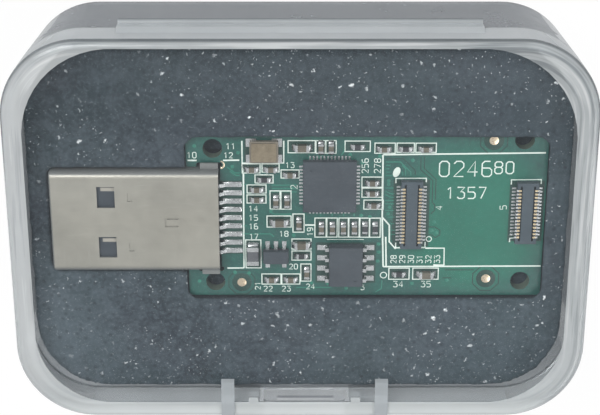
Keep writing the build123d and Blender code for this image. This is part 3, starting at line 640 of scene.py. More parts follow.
def finish_piece(name, bm, material, body="case", soften=35.0, flat_sides=False):
    """Turns a bmesh, drawn in millimetres, into a piece that rides on its body."""
    bmesh.ops.scale(bm, vec=(MM, MM, MM), verts=bm.verts)
    mesh = mesh_from(name, bm)
    mesh.set_sharp_from_angle(angle=math.radians(soften))
    mesh.polygons.foreach_set("use_smooth", [not (flat_sides and is_flat(face)) for face in mesh.polygons])
    mesh.materials.append(material)
    piece = place_object(name, mesh)
    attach(piece, body)
    return piece


def cuboid(size, centre=(0.0, 0.0, 0.0)):
    """A bmesh of one plain block."""
    bm = bmesh.new()
    bmesh.ops.create_cube(bm, size=1.0)
    bmesh.ops.scale(bm, vec=size, verts=bm.verts)
    bmesh.ops.translate(bm, vec=centre, verts=bm.verts)
    return bm


def round_edges(bm, edges, offset, steps):
    bmesh.ops.bevel(bm, geom=edges, offset=offset, segments=steps, affect="EDGES", profile=0.5, material=-1)


def upright_edges(bm):
    return [edge for edge in bm.edges if abs(edge.verts[0].co.z - edge.verts[1].co.z) > 0.1]


def join(bm, part):
    """Adds everything in part to bm."""
    mesh = mesh_from("joined", part)
    bm.from_mesh(mesh)
    bpy.data.meshes.remove(mesh)


def settle(bm, part, place, turn=0.0):
    """Turns part about the vertical, moves it to its place and adds it to bm."""
    bmesh.ops.rotate(part, matrix=Matrix.Rotation(math.radians(turn), 3, "Z"), verts=part.verts)
    bmesh.ops.translate(part, vec=place, verts=part.verts)
    join(bm, part)


def block(bm, centre, size, rounding, steps=1):
    """Adds one block with rounded edges."""
    part = cuboid(size)
    round_edges(part, part.edges[:], rounding, steps)
    settle(bm, part, centre)


def strokes(bm, lines, width, rise, closed=False):
    """Adds flat raised strokes of one width along lines on the board; each is a list of points."""
    curve = bpy.data.curves.new("strokes", "CURVE")
    curve.dimensions = "3D"
    curve.bevel_depth = width / 2
    curve.bevel_resolution = 1
    curve.use_fill_caps = True
    for points in lines:
        spline = curve.splines.new("POLY")
        spline.points.add(len(points) - 1)
        for point, (x, y) in zip(spline.points, points):
            point.co = (x, y, 0.0, 1.0)
        spline.use_cyclic_u = closed
    holder = place_object("strokes", curve)
    mesh = bpy.data.meshes.new_from_object(holder)
    part = bmesh.new()
    part.from_mesh(mesh)
    bmesh.ops.scale(part, vec=(1.0, 1.0, 2 * rise / width), verts=part.verts)
    settle(bm, part, (0.0, 0.0, BOARD_TOP))
    bpy.data.objects.remove(holder)
    bpy.data.curves.remove(curve)
    bpy.data.meshes.remove(mesh)


def disc(bm, x, y, radius, rise, squash=1.0, turn=0.0, count=24):
    """Adds a flat round spot with a soft edge on the board."""
    part = bmesh.new()
    bmesh.ops.create_cone(part, cap_ends=True, segments=count, radius1=radius, radius2=radius, depth=rise)
    rim = [edge for edge in part.edges if all(vert.co.z > 0 for vert in edge.verts)]
    round_edges(part, rim, rise * SPOT_EDGE, 2)
    bmesh.ops.scale(part, vec=(1.0, squash, 1.0), verts=part.verts)
    settle(bm, part, (x, y, BOARD_TOP + rise / 2), turn)


def box_line(x, y, width, height):
    """The four corners of a printed box."""
    a, b = width / 2, height / 2
    return [(x - a, y - b), (x + a, y - b), (x + a, y + b), (x - a, y + b)]


def arc_line(x, y, radius, count, start=0.0, sweep=360.0):
    """Points along a circle or a part of one; angles in degrees."""
    step = sweep / (count if sweep >= 360 else count - 1)
    angles = [math.radians(start + step * i) for i in range(count)]
    return [(x + radius * math.cos(angle), y + radius * math.sin(angle)) for angle in angles]


# ---------------------------------------------------------------- case mouldings
LEVELS = (LID_TOP, LID_UNDERSIDE, FLOOR_TOP, 0.0)       # heights of the flat top and floor faces
LEVEL_ENOUGH = 0.995            # a face whose normal is this near the vertical is level
SAME = 0.01                     # two heights this close are the same
CLEAR_TOP = (-30.15, 30.0, -20.45, 21.55)       # the clear middle of the top: left, right, front, back
CLEAR_CORNERS = (8.6, 8.6, 10.0, 10.5)          # front left, front right, back left, back right
CLEAR_STEPS = 48                # straight cuts round the clear middle
EDGE_FROM = LID_UNDERSIDE + 0.2                 # sloping faces above this height are the lid's edge
BEVEL_FROM = LID_UNDERSIDE - 0.6                # the bevel inside the lid, under its top
BACK_WALL = 20.9
BACK_TOP = 13.9
FRONT_WALL = -21.0
TAB_FACE = -22.6
LATCH_X = 0.5
LATCH_HALF = 5.25
PAD_HALF = 5.2
PAD_FACE = TAB_FACE - 0.2
RIB_PLACES = (-8.35, 9.35)      # the ribs beside the latch: their middles in x
RIB_HALF = 0.75
RIB_END = -17.5
GUSSETS = (-5.4, 6.4)           # the small gussets behind the front wall: their middles in x
GUSSET_HALF = 0.55
GUSSET_BACK = -19.85


def clear_planes():
    """The lines round the clear middle of the lid's top, as (point, outward direction) pairs."""
    left, right, front, back = CLEAR_TOP
    planes = []
    for step in range(CLEAR_STEPS):
        angle = math.radians(360 / CLEAR_STEPS * step)
        out = Vector((math.cos(angle), math.sin(angle), 0.0))
        turn = CLEAR_CORNERS[(out.x > 0) + 2 * (out.y > 0)]
        corner = Vector((right - turn if out.x > 0 else left + turn,
                         back - turn if out.y > 0 else front + turn, 0.0))
        planes.append((corner + turn * out, out))
    return planes


def upright_planes(places, half):
    """The two planes across x at each side of every place."""
    return [((place + side * half, 0.0, 0.0), (side, 0.0, 0.0)) for place in places for side in (-1.0, 1.0)]


def is_level(face):
    return abs(face.normal.z) > LEVEL_ENOUGH


def is_top(face):
    return is_level(face) and face.normal.z > 0 and abs(face.calc_center_median().z - LID_TOP) < SAME


def is_front(face):
    return abs(face.normal.y) > 0.99 and face.calc_center_median().y < FRONT_WALL


def is_near(x, places, half):
    return min(abs(x - place) for place in places) < half


def on_rib(centre):
    return (centre.y < RIB_END and centre.z > EDGE_FROM and is_near(centre.x, RIB_PLACES, RIB_HALF)
            and (centre.z > LID_TOP + 0.02 or centre.y < TAB_FACE))


def split_faces(bm, wanted, planes):
    """Cuts the wanted faces along planes, each a point and a direction."""
    for point, out in planes:
        faces = [face for face in bm.faces if wanted(face)]
        edges = {edge for face in faces for edge in face.edges}
        verts = {vert for face in faces for vert in face.verts}
        bmesh.ops.bisect_plane(bm, geom=[*verts, *edges, *faces], dist=1e-5, plane_co=point, plane_no=out)


def in_clear_middle(centre, planes):
    """On the flat top, neither over the walls nor over a gusset."""
    if centre.y < GUSSET_BACK and is_near(centre.x, GUSSETS, GUSSET_HALF):
        return False
    return all((centre - point).dot(out) <= 0.0 for point, out in planes)


def plastic_of(face, body, planes):
    """Which plastic a face of a moulding shows."""
    centre = face.calc_center_median()
    from_latch = abs(centre.x - LATCH_X)
    flat = is_level(face) and min(abs(centre.z - known) for known in LEVELS) < SAME
    bevel = BEVEL_FROM < centre.z < LID_UNDERSIDE and -0.9 < face.normal.z < -0.5
    if on_rib(centre):
        return RIBS
    if centre.y < PAD_FACE and centre.z < LID_UNDERSIDE and from_latch < PAD_HALF:
        return PAD
    if body == "lid" and is_front(face) and from_latch < LATCH_HALF:
        return WINDOW
    if is_top(face) and not in_clear_middle(centre, planes):
        return EDGE
    if centre.z > EDGE_FROM and abs(face.normal.z) > 0.15 and not flat:
        return EDGE
    if centre.y < TAB_FACE:
        return TAB
    if flat or bevel:
        return CLEAR
    # the base's back wall below its top takes the plastic darkened as painted shade
    if body == "case" and centre.y > BACK_WALL and centre.z < BACK_TOP:
        return BACK
    return WALL


def make_moulding(name, node, body, walls):
    """A welded copy of a clear case part: flat top and floor polished, the rest cloudy."""
    bm = bmesh.new()
    bm.from_mesh(nodes[node].data)
    bmesh.ops.remove_doubles(bm, verts=bm.verts, dist=1e-7)
    bmesh.ops.scale(bm, vec=(1 / MM, 1 / MM, 1 / MM), verts=bm.verts)
    planes = clear_planes()
    behind_gussets = ((0.0, GUSSET_BACK, 0.0), (0.0, -1.0, 0.0))
    split_faces(bm, is_top, planes + upright_planes(GUSSETS, GUSSET_HALF) + [behind_gussets])
    split_faces(bm, is_front, upright_planes((LATCH_X,), LATCH_HALF))
    for face in bm.faces:
        face.material_index = plastic_of(face, body, planes)
    piece = finish_piece(name, bm, walls, body, soften=32.0, flat_sides=True)
    for material in (POLISHED, LID_RIM, SHADED_BASE_BACK, RIB, LATCH_WINDOW, LATCH_PAD, LATCH_TAB):
        piece.data.materials.append(material)
    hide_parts(node)


# ---------------------------------------------------------------- living hinge
WEB_ROUND = 0.35                # from the hinge's middle line to the middle of the web
WEB_THICKNESS = 0.3
WEB_STEPS = 12


def make_hinge_web():
    """The thin strip of the hinge, which folds when the real lid opens, here built closed: half a ring along
    the hinge.
    """
    low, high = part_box("living_hinge")
    low, high = low / MM, high / MM
    middle = (low.z + high.z) / 2
    bm = bmesh.new()
    bmesh.ops.create_grid(bm, x_segments=1, y_segments=1, size=0.5)
    bmesh.ops.scale(bm, vec=(high.x - low.x, 1.0, 1.0), verts=bm.verts)
    bmesh.ops.rotate(bm, matrix=Matrix.Rotation(math.radians(90), 3, "X"), verts=bm.verts)
    bmesh.ops.scale(bm, vec=(1.0, 1.0, WEB_THICKNESS), verts=bm.verts)
    bmesh.ops.translate(bm, vec=((low.x + high.x) / 2, low.y, middle + WEB_ROUND), verts=bm.verts)
    bmesh.ops.spin(bm, geom=bm.verts[:] + bm.edges[:] + bm.faces[:], cent=(0.0, low.y, middle),
                   axis=(1.0, 0.0, 0.0), dvec=(0.0, 0.0, 0.0), angle=math.radians(-180), steps=WEB_STEPS,
                   use_merge=False, use_duplicate=False)
    bmesh.ops.remove_doubles(bm, verts=bm.verts, dist=1e-4)
    bmesh.ops.recalc_face_normals(bm, faces=bm.faces)
    piece = finish_piece("hinge_web", bm, LID_EDGE, "case")
    piece.parent = None
    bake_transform(piece)
    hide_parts("living_hinge")


# ---------------------------------------------------------------- foam
# from the box of the drawn foam to the block that is pitted, so that it ends within the case
FOAM_LOW_INSET = Vector((0.05, 0.25, 0.0))
FOAM_HIGH_INSET = Vector((0.4, 0.0, 0.0))
FOAM_FRONT_ROUND = 8.4
FOAM_BACK_ROUND = 1.0
FOAM_LEFT_CUT = (5.8, 5.6)      # the cut back corners: along x and along y
FOAM_RIGHT_CUT = (6.4, 5.0)
# the pocket, closed over the edges of the board and tight round the plug: low corner, high corner, rounding
FOAM_POCKETS = [
    ((-13.3, -9.25, 13.7), (28.2, 12.25, 16.25), 0.6), ((-12.7, -8.7, 15.0), (27.5, 10.45, 20.0), 0.9),
    ((-28.2, -5.35, 12.4), (-8.2, 7.0, 20.0), 0.5), ((-11.9, -6.3, 12.4), (-8.2, 8.0, 20.0), 0.4),
]
FOAM_CELL = 0.36
# cell structure on the foam's faces: name, size of the clouds, strength, middle level
FOAM_CLOUDS = [("lumps", 2.6, 0.22, 0.62), ("pits", 0.5, 0.16, 0.6)]


def box_between(low, high):
    """A bmesh of one plain block from its low to its high corner."""
    low, high = Vector(low), Vector(high)
    return cuboid(high - low, (low + high) / 2)


def cut_corner(bm, point, outwards):
    """Cuts away what lies outwards of an upright plane and closes the cut."""
    cut = bmesh.ops.bisect_plane(bm, geom=bm.verts[:] + bm.edges[:] + bm.faces[:], dist=1e-5, plane_co=point,
                                 plane_no=outwards, clear_outer=True)
    rim = [edge for edge in cut["geom_cut"] if isinstance(edge, bmesh.types.BMEdge)]
    bmesh.ops.contextual_create(bm, geom=rim)


def foam_block(low, high):
    """The block with round front corners and cut back corners."""
    bm = box_between(low, high)
    round_edges(bm, [edge for edge in upright_edges(bm) if edge.verts[0].co.y < 0], FOAM_FRONT_ROUND, 10)
    for x, side, (along, across) in ((low.x, 1, FOAM_LEFT_CUT), (high.x, -1, FOAM_RIGHT_CUT)):
        cut_corner(bm, (x + side * along, high.y, 0.0), (-side * across, along, 0.0))
    round_edges(bm, [edge for edge in upright_edges(bm) if edge.verts[0].co.y > 10], FOAM_BACK_ROUND, 4)
    return bm


def modify(piece, name, kind, **settings):
    modifier = piece.modifiers.new(name, kind)
    for key, value in settings.items():
        setattr(modifier, key, value)


def make_foam():
    low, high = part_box("foam_insert")
    block_low, block_high = low / MM + FOAM_LOW_INSET, high / MM - FOAM_HIGH_INSET
    foam = place_object("foam_work", mesh_from("foam_work", foam_block(block_low, block_high)))
    cutters = []
    for pocket_low, pocket_high, rounding in FOAM_POCKETS:
        pocket = box_between(pocket_low, pocket_high)
        round_edges(pocket, upright_edges(pocket), rounding, 4)
        cutters.append(place_object("cutter", mesh_from("cutter", pocket)))
        modify(foam, "pocket", "BOOLEAN", operation="DIFFERENCE", solver="EXACT", object=cutters[-1])
    modify(foam, "cells", "REMESH", mode="VOXEL", voxel_size=FOAM_CELL)
    modify(foam, "soft", "SMOOTH", factor=0.5, iterations=2)
    for name, size, strength, middle in FOAM_CLOUDS:
        clouds = bpy.data.textures.new(name, "CLOUDS")
        clouds.noise_scale = size
        modify(foam, name, "DISPLACE", texture=clouds, strength=strength, mid_level=middle)
    bpy.context.view_layer.update()
    shaped = bpy.data.meshes.new_from_object(foam.evaluated_get(bpy.context.evaluated_depsgraph_get()))
    bm = bmesh.new()
    bm.from_mesh(shaped)
    for helper in cutters + [foam]:
        bpy.data.objects.remove(helper)
    piece = finish_piece("foam_block", bm, FOAM, soften=180.0)
    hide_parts("foam_insert")


# ---------------------------------------------------------------- printed lines on the board
PRINT_WIDTH = 0.18
PRINT_RISE = 0.02
THIN_WIDTH = 0.07
RING_WIDTH = 0.11
NUMBER_WIDTH = 0.1
LARGE_NUMBER = 1.0              # numbers from this height on have a heavier stroke
LARGE_NUMBER_WIDTH = 0.15

# boxes round the chips: x, y, width, height
CHIP_BOXES = [
    (-5.51, 6.74, 2.00, 1.07), (-3.33, 6.79, 1.90, 0.95), (-1.14, 6.08, 2.02, 0.95),
    (-4.07, 5.49, 2.01, 0.96), (-4.92, 4.29, 2.13, 0.96), (-4.94, 3.09, 2.13, 0.97),
    (-2.85, 2.97, 1.11, 2.17), (-1.61, 2.96, 1.12, 2.17), (-2.41, 0.36, 2.72, 1.34),
    (-0.20, 0.17, 1.25, 2.20), (0.15, 9.30, 3.01, 1.41), (2.27, 9.27, 1.01, 1.47),
    (3.43, 9.27, 1.12, 1.47), (6.39, 9.35, 2.80, 1.22), (9.45, 9.13, 2.25, 1.18),
    (11.74, 9.19, 1.92, 1.06), (14.02, 9.18, 2.26, 1.06), (8.07, 5.11, 2.27, 1.20),
    (8.09, 3.85, 2.27, 1.08), (8.28, 2.41, 2.17, 1.09), (2.30, -0.38, 1.26, 2.32),
    (3.61, -0.38, 1.15, 2.32), (4.92, -0.38, 1.05, 2.32), (6.11, -0.38, 1.16, 2.32),
    (7.31, -0.39, 1.06, 2.32), (8.50, -0.39, 1.18, 2.32), (0.14, -2.40, 2.17, 1.24),
    (0.14, -3.82, 2.18, 1.12), (0.65, -5.94, 1.15, 2.13), (-3.32, -6.75, 2.18, 1.26),
    (-1.08, -6.75, 2.07, 1.26), (11.36, -6.08, 2.33, 1.38), (14.41, -6.08, 2.92, 1.38),
    (-5.36, -3.62, 1.72, 3.45),
]
# other printed lines
PRINT_LINES = [
    [(-8.37, -5.38), (-6.46, -5.36), (-6.38, 5.97), (-6.52, 7.15)],
    [(-12.6, 7.69), (-11.57, 7.69)], [(-8.63, 7.69), (-6.82, 7.72)],
    [(-6.50, 10.0), (-6.50, 7.38), (-1.85, 7.38), (-1.85, 10.0)],
    [(0.54, -0.07), (1.6, -0.07)],
    [(9.24, 8.36), (27.4, 8.58)], [(9.24, 8.36), (9.30, 0.75), (9.52, -5.2)],
    [(9.52, -5.2), (27.6, -5.12)], [(9.34, 0.83), (10.12, -0.08), (10.16, -2.12), (10.9, -2.98)],
    [(9.74, -1.51), (9.86, -5.1)],
    [(10.75, 4.99), (10.75, 5.55), (14.16, 5.57), (14.16, 5.1)],
    [(10.9, -2.23), (10.9, -2.85), (11.68, -2.85)], [(14.25, -2.13), (14.25, -2.83), (13.7, -2.83)],
    [(14.3, -2.91), (16.46, -2.91), (16.5, -5.0), (15.28, -5.0)],
    [(23.73, 4.83), (23.73, 5.38), (27.08, 5.41), (27.08, 4.9)],
    [(23.88, -2.15), (23.88, -1.68), (24.62, -1.64)],
]
PRINT_RINGS = [(14.66, -1.78, 0.3), (9.58, -6.26, 0.36)]     # x, y, radius
PRINT_OVAL = {"x": 10.81, "y": 6.30, "radius": 0.62, "squash": 0.62, "turn": 68.0}
THIN_LINES = [[(3.05, -1.84), (7.25, -1.84)]]

# plain numbers: text, x and y of the lower left corner, height, quarter turns
NUMBERS = [
    ("10", -12.62, 7.98, 0.66, 0), ("11", -8.25, 9.02, 0.66, 0), ("12", -8.5, 7.98, 0.62, 0),
    ("13", -1.62, 6.82, 0.62, 0), ("2", -0.34, 4.3, 0.72, 1), ("14", -5.8, 1.6, 0.64, 0),
    ("15", -5.8, 0.5, 0.64, 0), ("16", -5.8, -0.56, 0.64, 0), ("17", -5.75, -1.78, 0.62, 0),
    ("18", -2.35, -1.46, 0.64, 0), ("19", 1.42, -1.35, 0.62, 1), ("20", -1.25, -5.5, 0.62, 0),
    ("21", -4.6, -8.05, 0.6, 1), ("22", -4.2, -8.28, 0.64, 0), ("23", -2.1, -8.28, 0.64, 0),
    ("24", 0.7, -8.0, 0.62, 0), ("3", 7.0, -8.1, 0.62, 0), ("256", 7.62, 6.2, 0.7, 1),
    ("278", 9.0, 6.2, 0.7, 1), ("4", 16.05, 1.8, 0.72, 1),
    ("5", 23.32, 1.85, 0.72, 1), ("28", 11.0, -4.75, 0.62, 1), ("29", 12.0, -4.75, 0.62, 1),
    ("30", 13.0, -4.75, 0.62, 1), ("31", 14.0, -4.75, 0.62, 1), ("32", 15.0, -4.75, 0.62, 1),
    ("33", 16.0, -4.75, 0.62, 1), ("34", 10.75, -7.75, 0.72, 0), ("35", 13.95, -7.75, 0.72, 0),
    ("02", 15.6, 5.78, 1.8, 0), ("46", 18.75, 5.78, 1.8, 0), ("80", 21.8, 6.12, 1.4, 0),
    ("1357", 16.5, 3.15, 1.34, 0),
]
# the strokes of each digit, drawn one unit high
DIGITS = {
    "0": [[(0.15, 0), (0.45, 0), (0.6, 0.15), (0.6, 0.85), (0.45, 1), (0.15, 1), (0, 0.85), (0, 0.15),
           (0.15, 0)]],
    "1": [[(0.1, 0.8), (0.32, 1), (0.32, 0)]],
    "2": [[(0, 0.84), (0.15, 1), (0.45, 1), (0.6, 0.85), (0.6, 0.62), (0, 0), (0.6, 0)]],
    "3": [[(0, 1), (0.6, 1), (0.27, 0.6), (0.45, 0.6), (0.6, 0.47), (0.6, 0.14), (0.45, 0), (0.14, 0),
           (0, 0.14)]],
    "4": [[(0.46, 0), (0.46, 1), (0, 0.3), (0.62, 0.3)]],
    "5": [[(0.58, 1), (0, 1), (0, 0.58), (0.45, 0.58), (0.6, 0.44), (0.6, 0.14), (0.45, 0), (0, 0)]],
    "6": [[(0.5, 1), (0.15, 1), (0, 0.85), (0, 0.14), (0.14, 0), (0.46, 0), (0.6, 0.14), (0.6, 0.42),
           (0.46, 0.56), (0, 0.56)]],
    "7": [[(0, 1), (0.6, 1), (0.2, 0)]],
    "8": [[(0.14, 0.54), (0, 0.66), (0, 0.86), (0.14, 1), (0.46, 1), (0.6, 0.86), (0.6, 0.66), (0.46, 0.54),
           (0.14, 0.54), (0, 0.42), (0, 0.14), (0.14, 0), (0.46, 0), (0.6, 0.14), (0.6, 0.42), (0.46, 0.54)]],
    "9": [[(0.1, 0), (0.45, 0), (0.6, 0.15), (0.6, 0.86), (0.46, 1), (0.14, 1), (0, 0.86), (0, 0.58),
           (0.14, 0.44), (0.6, 0.44)]],
}
DIGIT_PITCH = 0.9


def number_lines(text, x, y, height, turns):
    """The strokes of one plain number."""
    lines = []
    for index, digit in enumerate(text):
        for stroke in DIGITS[digit]:
            points = [((index * DIGIT_PITCH + a) * height, b * height) for a, b in stroke]
            if turns:
                points = [(-b, a) for a, b in points]
            lines.append([(x + a, y + b) for a, b in points])
    return lines


def make_print():
    bm = bmesh.new()
    strokes(bm, [box_line(*box) for box in CHIP_BOXES], PRINT_WIDTH, PRINT_RISE, closed=True)
    strokes(bm, PRINT_LINES, PRINT_WIDTH, PRINT_RISE)
    strokes(bm, THIN_LINES, THIN_WIDTH, PRINT_RISE)
    strokes(bm, [arc_line(*ring, 16) for ring in PRINT_RINGS], RING_WIDTH, PRINT_RISE, closed=True)
    disc(bm, rise=PRINT_RISE, **PRINT_OVAL)
    finish_piece("board_print", bm, PRINT)
    bm = bmesh.new()
    for text, x, y, height, turns in NUMBERS:
        width = NUMBER_WIDTH if height < LARGE_NUMBER else LARGE_NUMBER_WIDTH
        strokes(bm, number_lines(text, x, y, height, turns), width, PRINT_RISE)
    finish_piece("board_numbers", bm, PRINT)


# ---------------------------------------------------------------- copper under the mask
FIDUCIALS = [(21.57, 10.02), (21.36, -6.68), (-6.73, -7.15)]
FIDUCIAL_RING = 1.62            # radii of a fiducial's eight-sided outline, bare ground and gold dot
FIDUCIAL_GROUND = 1.12
FIDUCIAL_DOT = 0.52
# tracks that show as slightly lighter ridges: one list of points each
TRACKS = [
    [(-6.9, 4.85), (-5.9, 4.85)], [(-3.2, 4.75), (-0.35, 4.75)], [(-3.2, 4.35), (-0.35, 4.35)],
    [(-3.6, 3.95), (-0.35, 3.95)], [(-3.5, 1.55), (-2.9, 1.25), (-1.0, 1.25)],
    [(-6.9, -0.15), (-6.1, -0.15)], [(-6.9, -1.15), (-3.4, -1.15), (-3.0, -1.5)],
    [(-7.9, 6.4), (-7.2, 5.9), (-6.8, 5.9)], [(-8.2, 6.9), (-7.3, 6.2), (-6.8, 6.2)],
    [(9.6, 7.5), (11.2, 7.5), (12.4, 6.3), (12.4, 5.9)], [(9.6, 7.1), (10.1, 7.1)],
    [(11.4, 7.1), (11.8, 6.7), (11.8, 5.9)], [(9.6, 6.7), (10.0, 6.7)], [(9.6, 6.3), (10.1, 6.3)],
    [(11.4, 6.3), (11.5, 6.2), (11.5, 5.9)], [(9.6, 5.9), (10.4, 5.9)],
    [(9.6, 4.4), (10.5, 4.4)], [(9.6, 4.0), (10.3, 3.7), (10.6, 3.7)], [(9.6, 3.6), (10.2, 3.3), (10.6, 3.3)],
    [(9.6, 2.9), (10.6, 2.9)], [(9.6, 2.5), (10.6, 2.5)], [(9.6, 1.7), (10.6, 1.7)],
    [(9.9, 0.9), (10.7, 0.9)], [(10.3, 0.1), (10.7, 0.1)], [(10.35, -0.7), (10.8, -0.7)],
    [(10.35, -1.2), (10.8, -1.2)],
    [(1.0, 7.9), (1.0, 8.4)], [(4.6, 8.3), (4.9, 8.8), (5.0, 9.9)], [(9.4, -6.9), (9.4, -7.9), (8.7, -8.4)],
    [(-0.5, -7.8), (3.4, -7.8), (4.0, -7.5)], [(2.3, 1.0), (2.3, 1.3)], [(3.6, 1.0), (3.6, 1.3)],
    [(4.9, 1.0), (4.9, 1.3)], [(6.1, 1.0), (6.1, 1.3)], [(6.8, 5.3), (6.95, 5.3)], [(6.8, 3.9), (6.95, 3.9)],
]
# gaps between the copper areas, which show as darker lines
GAPS = [
    [(13.5, 8.1), (13.5, 6.6), (14.9, 5.3), (14.9, 2.7), (15.2, 2.4), (15.2, 1.7), (14.8, 1.3)],
    [(13.9, 8.1), (13.9, 6.75), (15.25, 5.45), (15.25, 3.0)],
    [(9.6, 7.9), (11.5, 7.9), (12.9, 6.5), (12.9, 6.0)],
    [(14.6, -0.3), (15.3, -0.3), (15.9, -0.7), (15.9, -1.3), (15.4, -1.6), (15.0, -1.3), (14.6, -1.2)],
    [(10.2, 0.5), (10.45, 0.2), (10.45, -1.9)],
    [(16.6, -5.6), (20.0, -5.6)], [(16.4, -6.6), (17.4, -6.6)],
    [(-12.5, 3.2), (-12.5, 3.0)],
]
# plated holes under the mask: x, y
VIAS = [
    (-7.6, 6.95), (-6.95, 8.6), (-0.95, 4.4), (-3.3, 1.75), (-0.75, -1.3), (1.35, 7.75), (5.6, 8.35),
    (6.95, 7.4), (9.95, 5.25), (9.95, 1.3), (10.1, 2.1), (9.95, 4.85), (15.2, 0.3), (14.95, -0.75),
    (15.5, -1.0), (8.95, -2.4), (9.0, -3.4), (8.9, -4.5), (5.3, -7.9), (3.2, -7.3), (16.9, -6.9),
    (12.9, -7.3), (1.3, -7.2), (-5.9, -6.0), (-7.5, -5.9), (-11.6, -7.0), (-11.8, 9.4), (6.9, 1.1),
    (7.9, 0.95), (2.0, 8.05), (12.6, 7.7), (8.9, 8.2),
]
# dark beds under the memory chip, crystal, two headers and the plug's tails, partly bare green and partly
# painted shade under the parts: x, y, width, height
PART_BEDS = [(5.2, -4.7, 6.9, 5.0), (-4.05, 8.75, 4.4, 2.6), (12.55, 1.37, 4.1, 8.1), (25.55, 1.6, 3.9, 7.3),
             (-7.85, 0.85, 2.6, 8.9)]
BED_INSET = 0.1                 # how much smaller than its printed box a chip's bed is
BED_HEIGHT = 0.01
BED_MIDDLE = 0.003              # the middle of a bed's height, above the board
BED_ROUND = 0.002
TRACK_WIDTH = 0.14
TRACK_RISE = 0.012
VIA_RADIUS = 0.22
VIA_RISE = 0.014
GAP_WIDTH = 0.12
GAP_RISE = 0.008
GROUND_RISE = 0.006
GOLD_WIDTH = 0.2
GOLD_RISE = 0.03
GOLD_ARC = (-8.98, 7.15, 0.42, 14, -80.0, 160.0)        # x, y, radius, points, start and sweep in degrees


def make_copper():
    bm = bmesh.new()
    strokes(bm, TRACKS, TRACK_WIDTH, TRACK_RISE)
    for x, y in VIAS:
        disc(bm, x, y, VIA_RADIUS, VIA_RISE, count=12)
    finish_piece("board_tracks", bm, TRACK)
    bm = bmesh.new()
    strokes(bm, GAPS, GAP_WIDTH, GAP_RISE)
    for x, y in FIDUCIALS:
        strokes(bm, [arc_line(x, y, FIDUCIAL_RING, 8, 22.5)], TRACK_WIDTH, GAP_RISE, closed=True)
        disc(bm, x, y, FIDUCIAL_GROUND, GROUND_RISE)
    # a dark bed inside each printed box: partly bare green, partly painted shade round the chip
    chip_beds = [(x, y, width - BED_INSET, height - BED_INSET) for x, y, width, height in CHIP_BOXES]
    for x, y, width, height in chip_beds + PART_BEDS:
        block(bm, (x, y, BOARD_TOP + BED_MIDDLE), (width, height, BED_HEIGHT), BED_ROUND)
    finish_piece("board_gaps_and_shade_beds", bm, BED)
    bm = bmesh.new()
    for x, y in FIDUCIALS:
        disc(bm, x, y, FIDUCIAL_DOT, GOLD_RISE)
    strokes(bm, [arc_line(*GOLD_ARC)], GOLD_WIDTH, GOLD_RISE)
    finish_piece("board_gold", bm, GOLD)


# ---------------------------------------------------------------- solder
# places of the chips: x, y, quarter turns
SMALL_CHIPS = [
    (-5.45, 6.65, 0), (-3.3, 6.65, 0), (-1.15, 6.0, 0), (-4.9, 4.25, 0), (-4.9, 3.05, 0),
    (-2.75, 2.75, 1), (-1.5, 2.75, 1), (2.3, 9.2, 1), (3.45, 9.2, 1), (9.35, 9.05, 0), (14.0, 9.05, 0),
    (8.1, 5.05, 0), (8.1, 3.8, 0), (8.3, 2.35, 0), (-0.15, 0.1, 1), (0.75, -6.0, 1), (-3.3, -6.75, 0),
    (-1.1, -6.75, 0), (2.4, -0.45, 1), (3.65, -0.45, 1), (4.9, -0.45, 1), (6.15, -0.45, 1),
    (-4.05, 5.4, 0), (11.75, 9.05, 0), (7.35, -0.45, 1), (8.5, -0.45, 1), (0.15, -3.85, 0), (11.35, -6.1, 0),
    (6.4, 9.3, 0),
]
MIDDLE_CHIPS = [(-2.35, 0.3, 0), (0.2, 9.25, 0), (14.45, -6.1, 0), (0.15, -2.45, 0)]
LARGE_CHIPS = [(-5.4, -3.6, 1)]
# for each kind of chip: the places, half its length, and a fillet's length, width and height
FILLETS = [(SMALL_CHIPS, 0.55, (0.3, 0.62, 0.3)), (MIDDLE_CHIPS, 0.8, (0.34, 0.78, 0.36)),
           (LARGE_CHIPS, 1.1, (0.34, 1.25, 0.5))]
FILLET_DROP = 0.72              # share of its height that a fillet loses towards its far side
FILLET_ROUND = 0.22             # rounding as a share of its width or height
TAIL_COUNT = 9
TAIL_PITCH = 1.0
# solder at each of the plug's tails, its land and its tip: x, height of its middle, size, rounding
TAIL_SOLDER = [(-7.75, 0.03, (2.3, 0.6, 0.06), 0.025), (-6.72, 0.09, (0.22, 0.44, 0.16), 0.05)]


def solder_wedge(bm, x, y, along, size, turn):
    """One fillet of solder, high against the chip and thin at the far side of its pad."""
    length, width, height = size
    part = cuboid(size, (along, 0.0, height / 2))
    outer = [vert for vert in part.verts if vert.co.z > height / 2 and abs(vert.co.x) > abs(along)]
    bmesh.ops.translate(part, vec=(0.0, 0.0, -FILLET_DROP * height), verts=outer)
    round_edges(part, part.edges[:], min(width, height) * FILLET_ROUND, 2)
    settle(bm, part, (x, y, BOARD_TOP), turn)


def make_solder():
    bm = bmesh.new()
    for spots, half_length, size in FILLETS:
        for x, y, turns in spots:
            for side in (-1, 1):
                solder_wedge(bm, x, y, side * (half_length + size[0] / 2), size, 90 * turns)
    for index in range(TAIL_COUNT):
        y = PLUG_Y + (index - (TAIL_COUNT - 1) / 2) * TAIL_PITCH
        for x, rise, size, rounding in TAIL_SOLDER:
            block(bm, (x, y, BOARD_TOP + rise), size, rounding, steps=2)
    finish_piece("solder", bm, TIN)


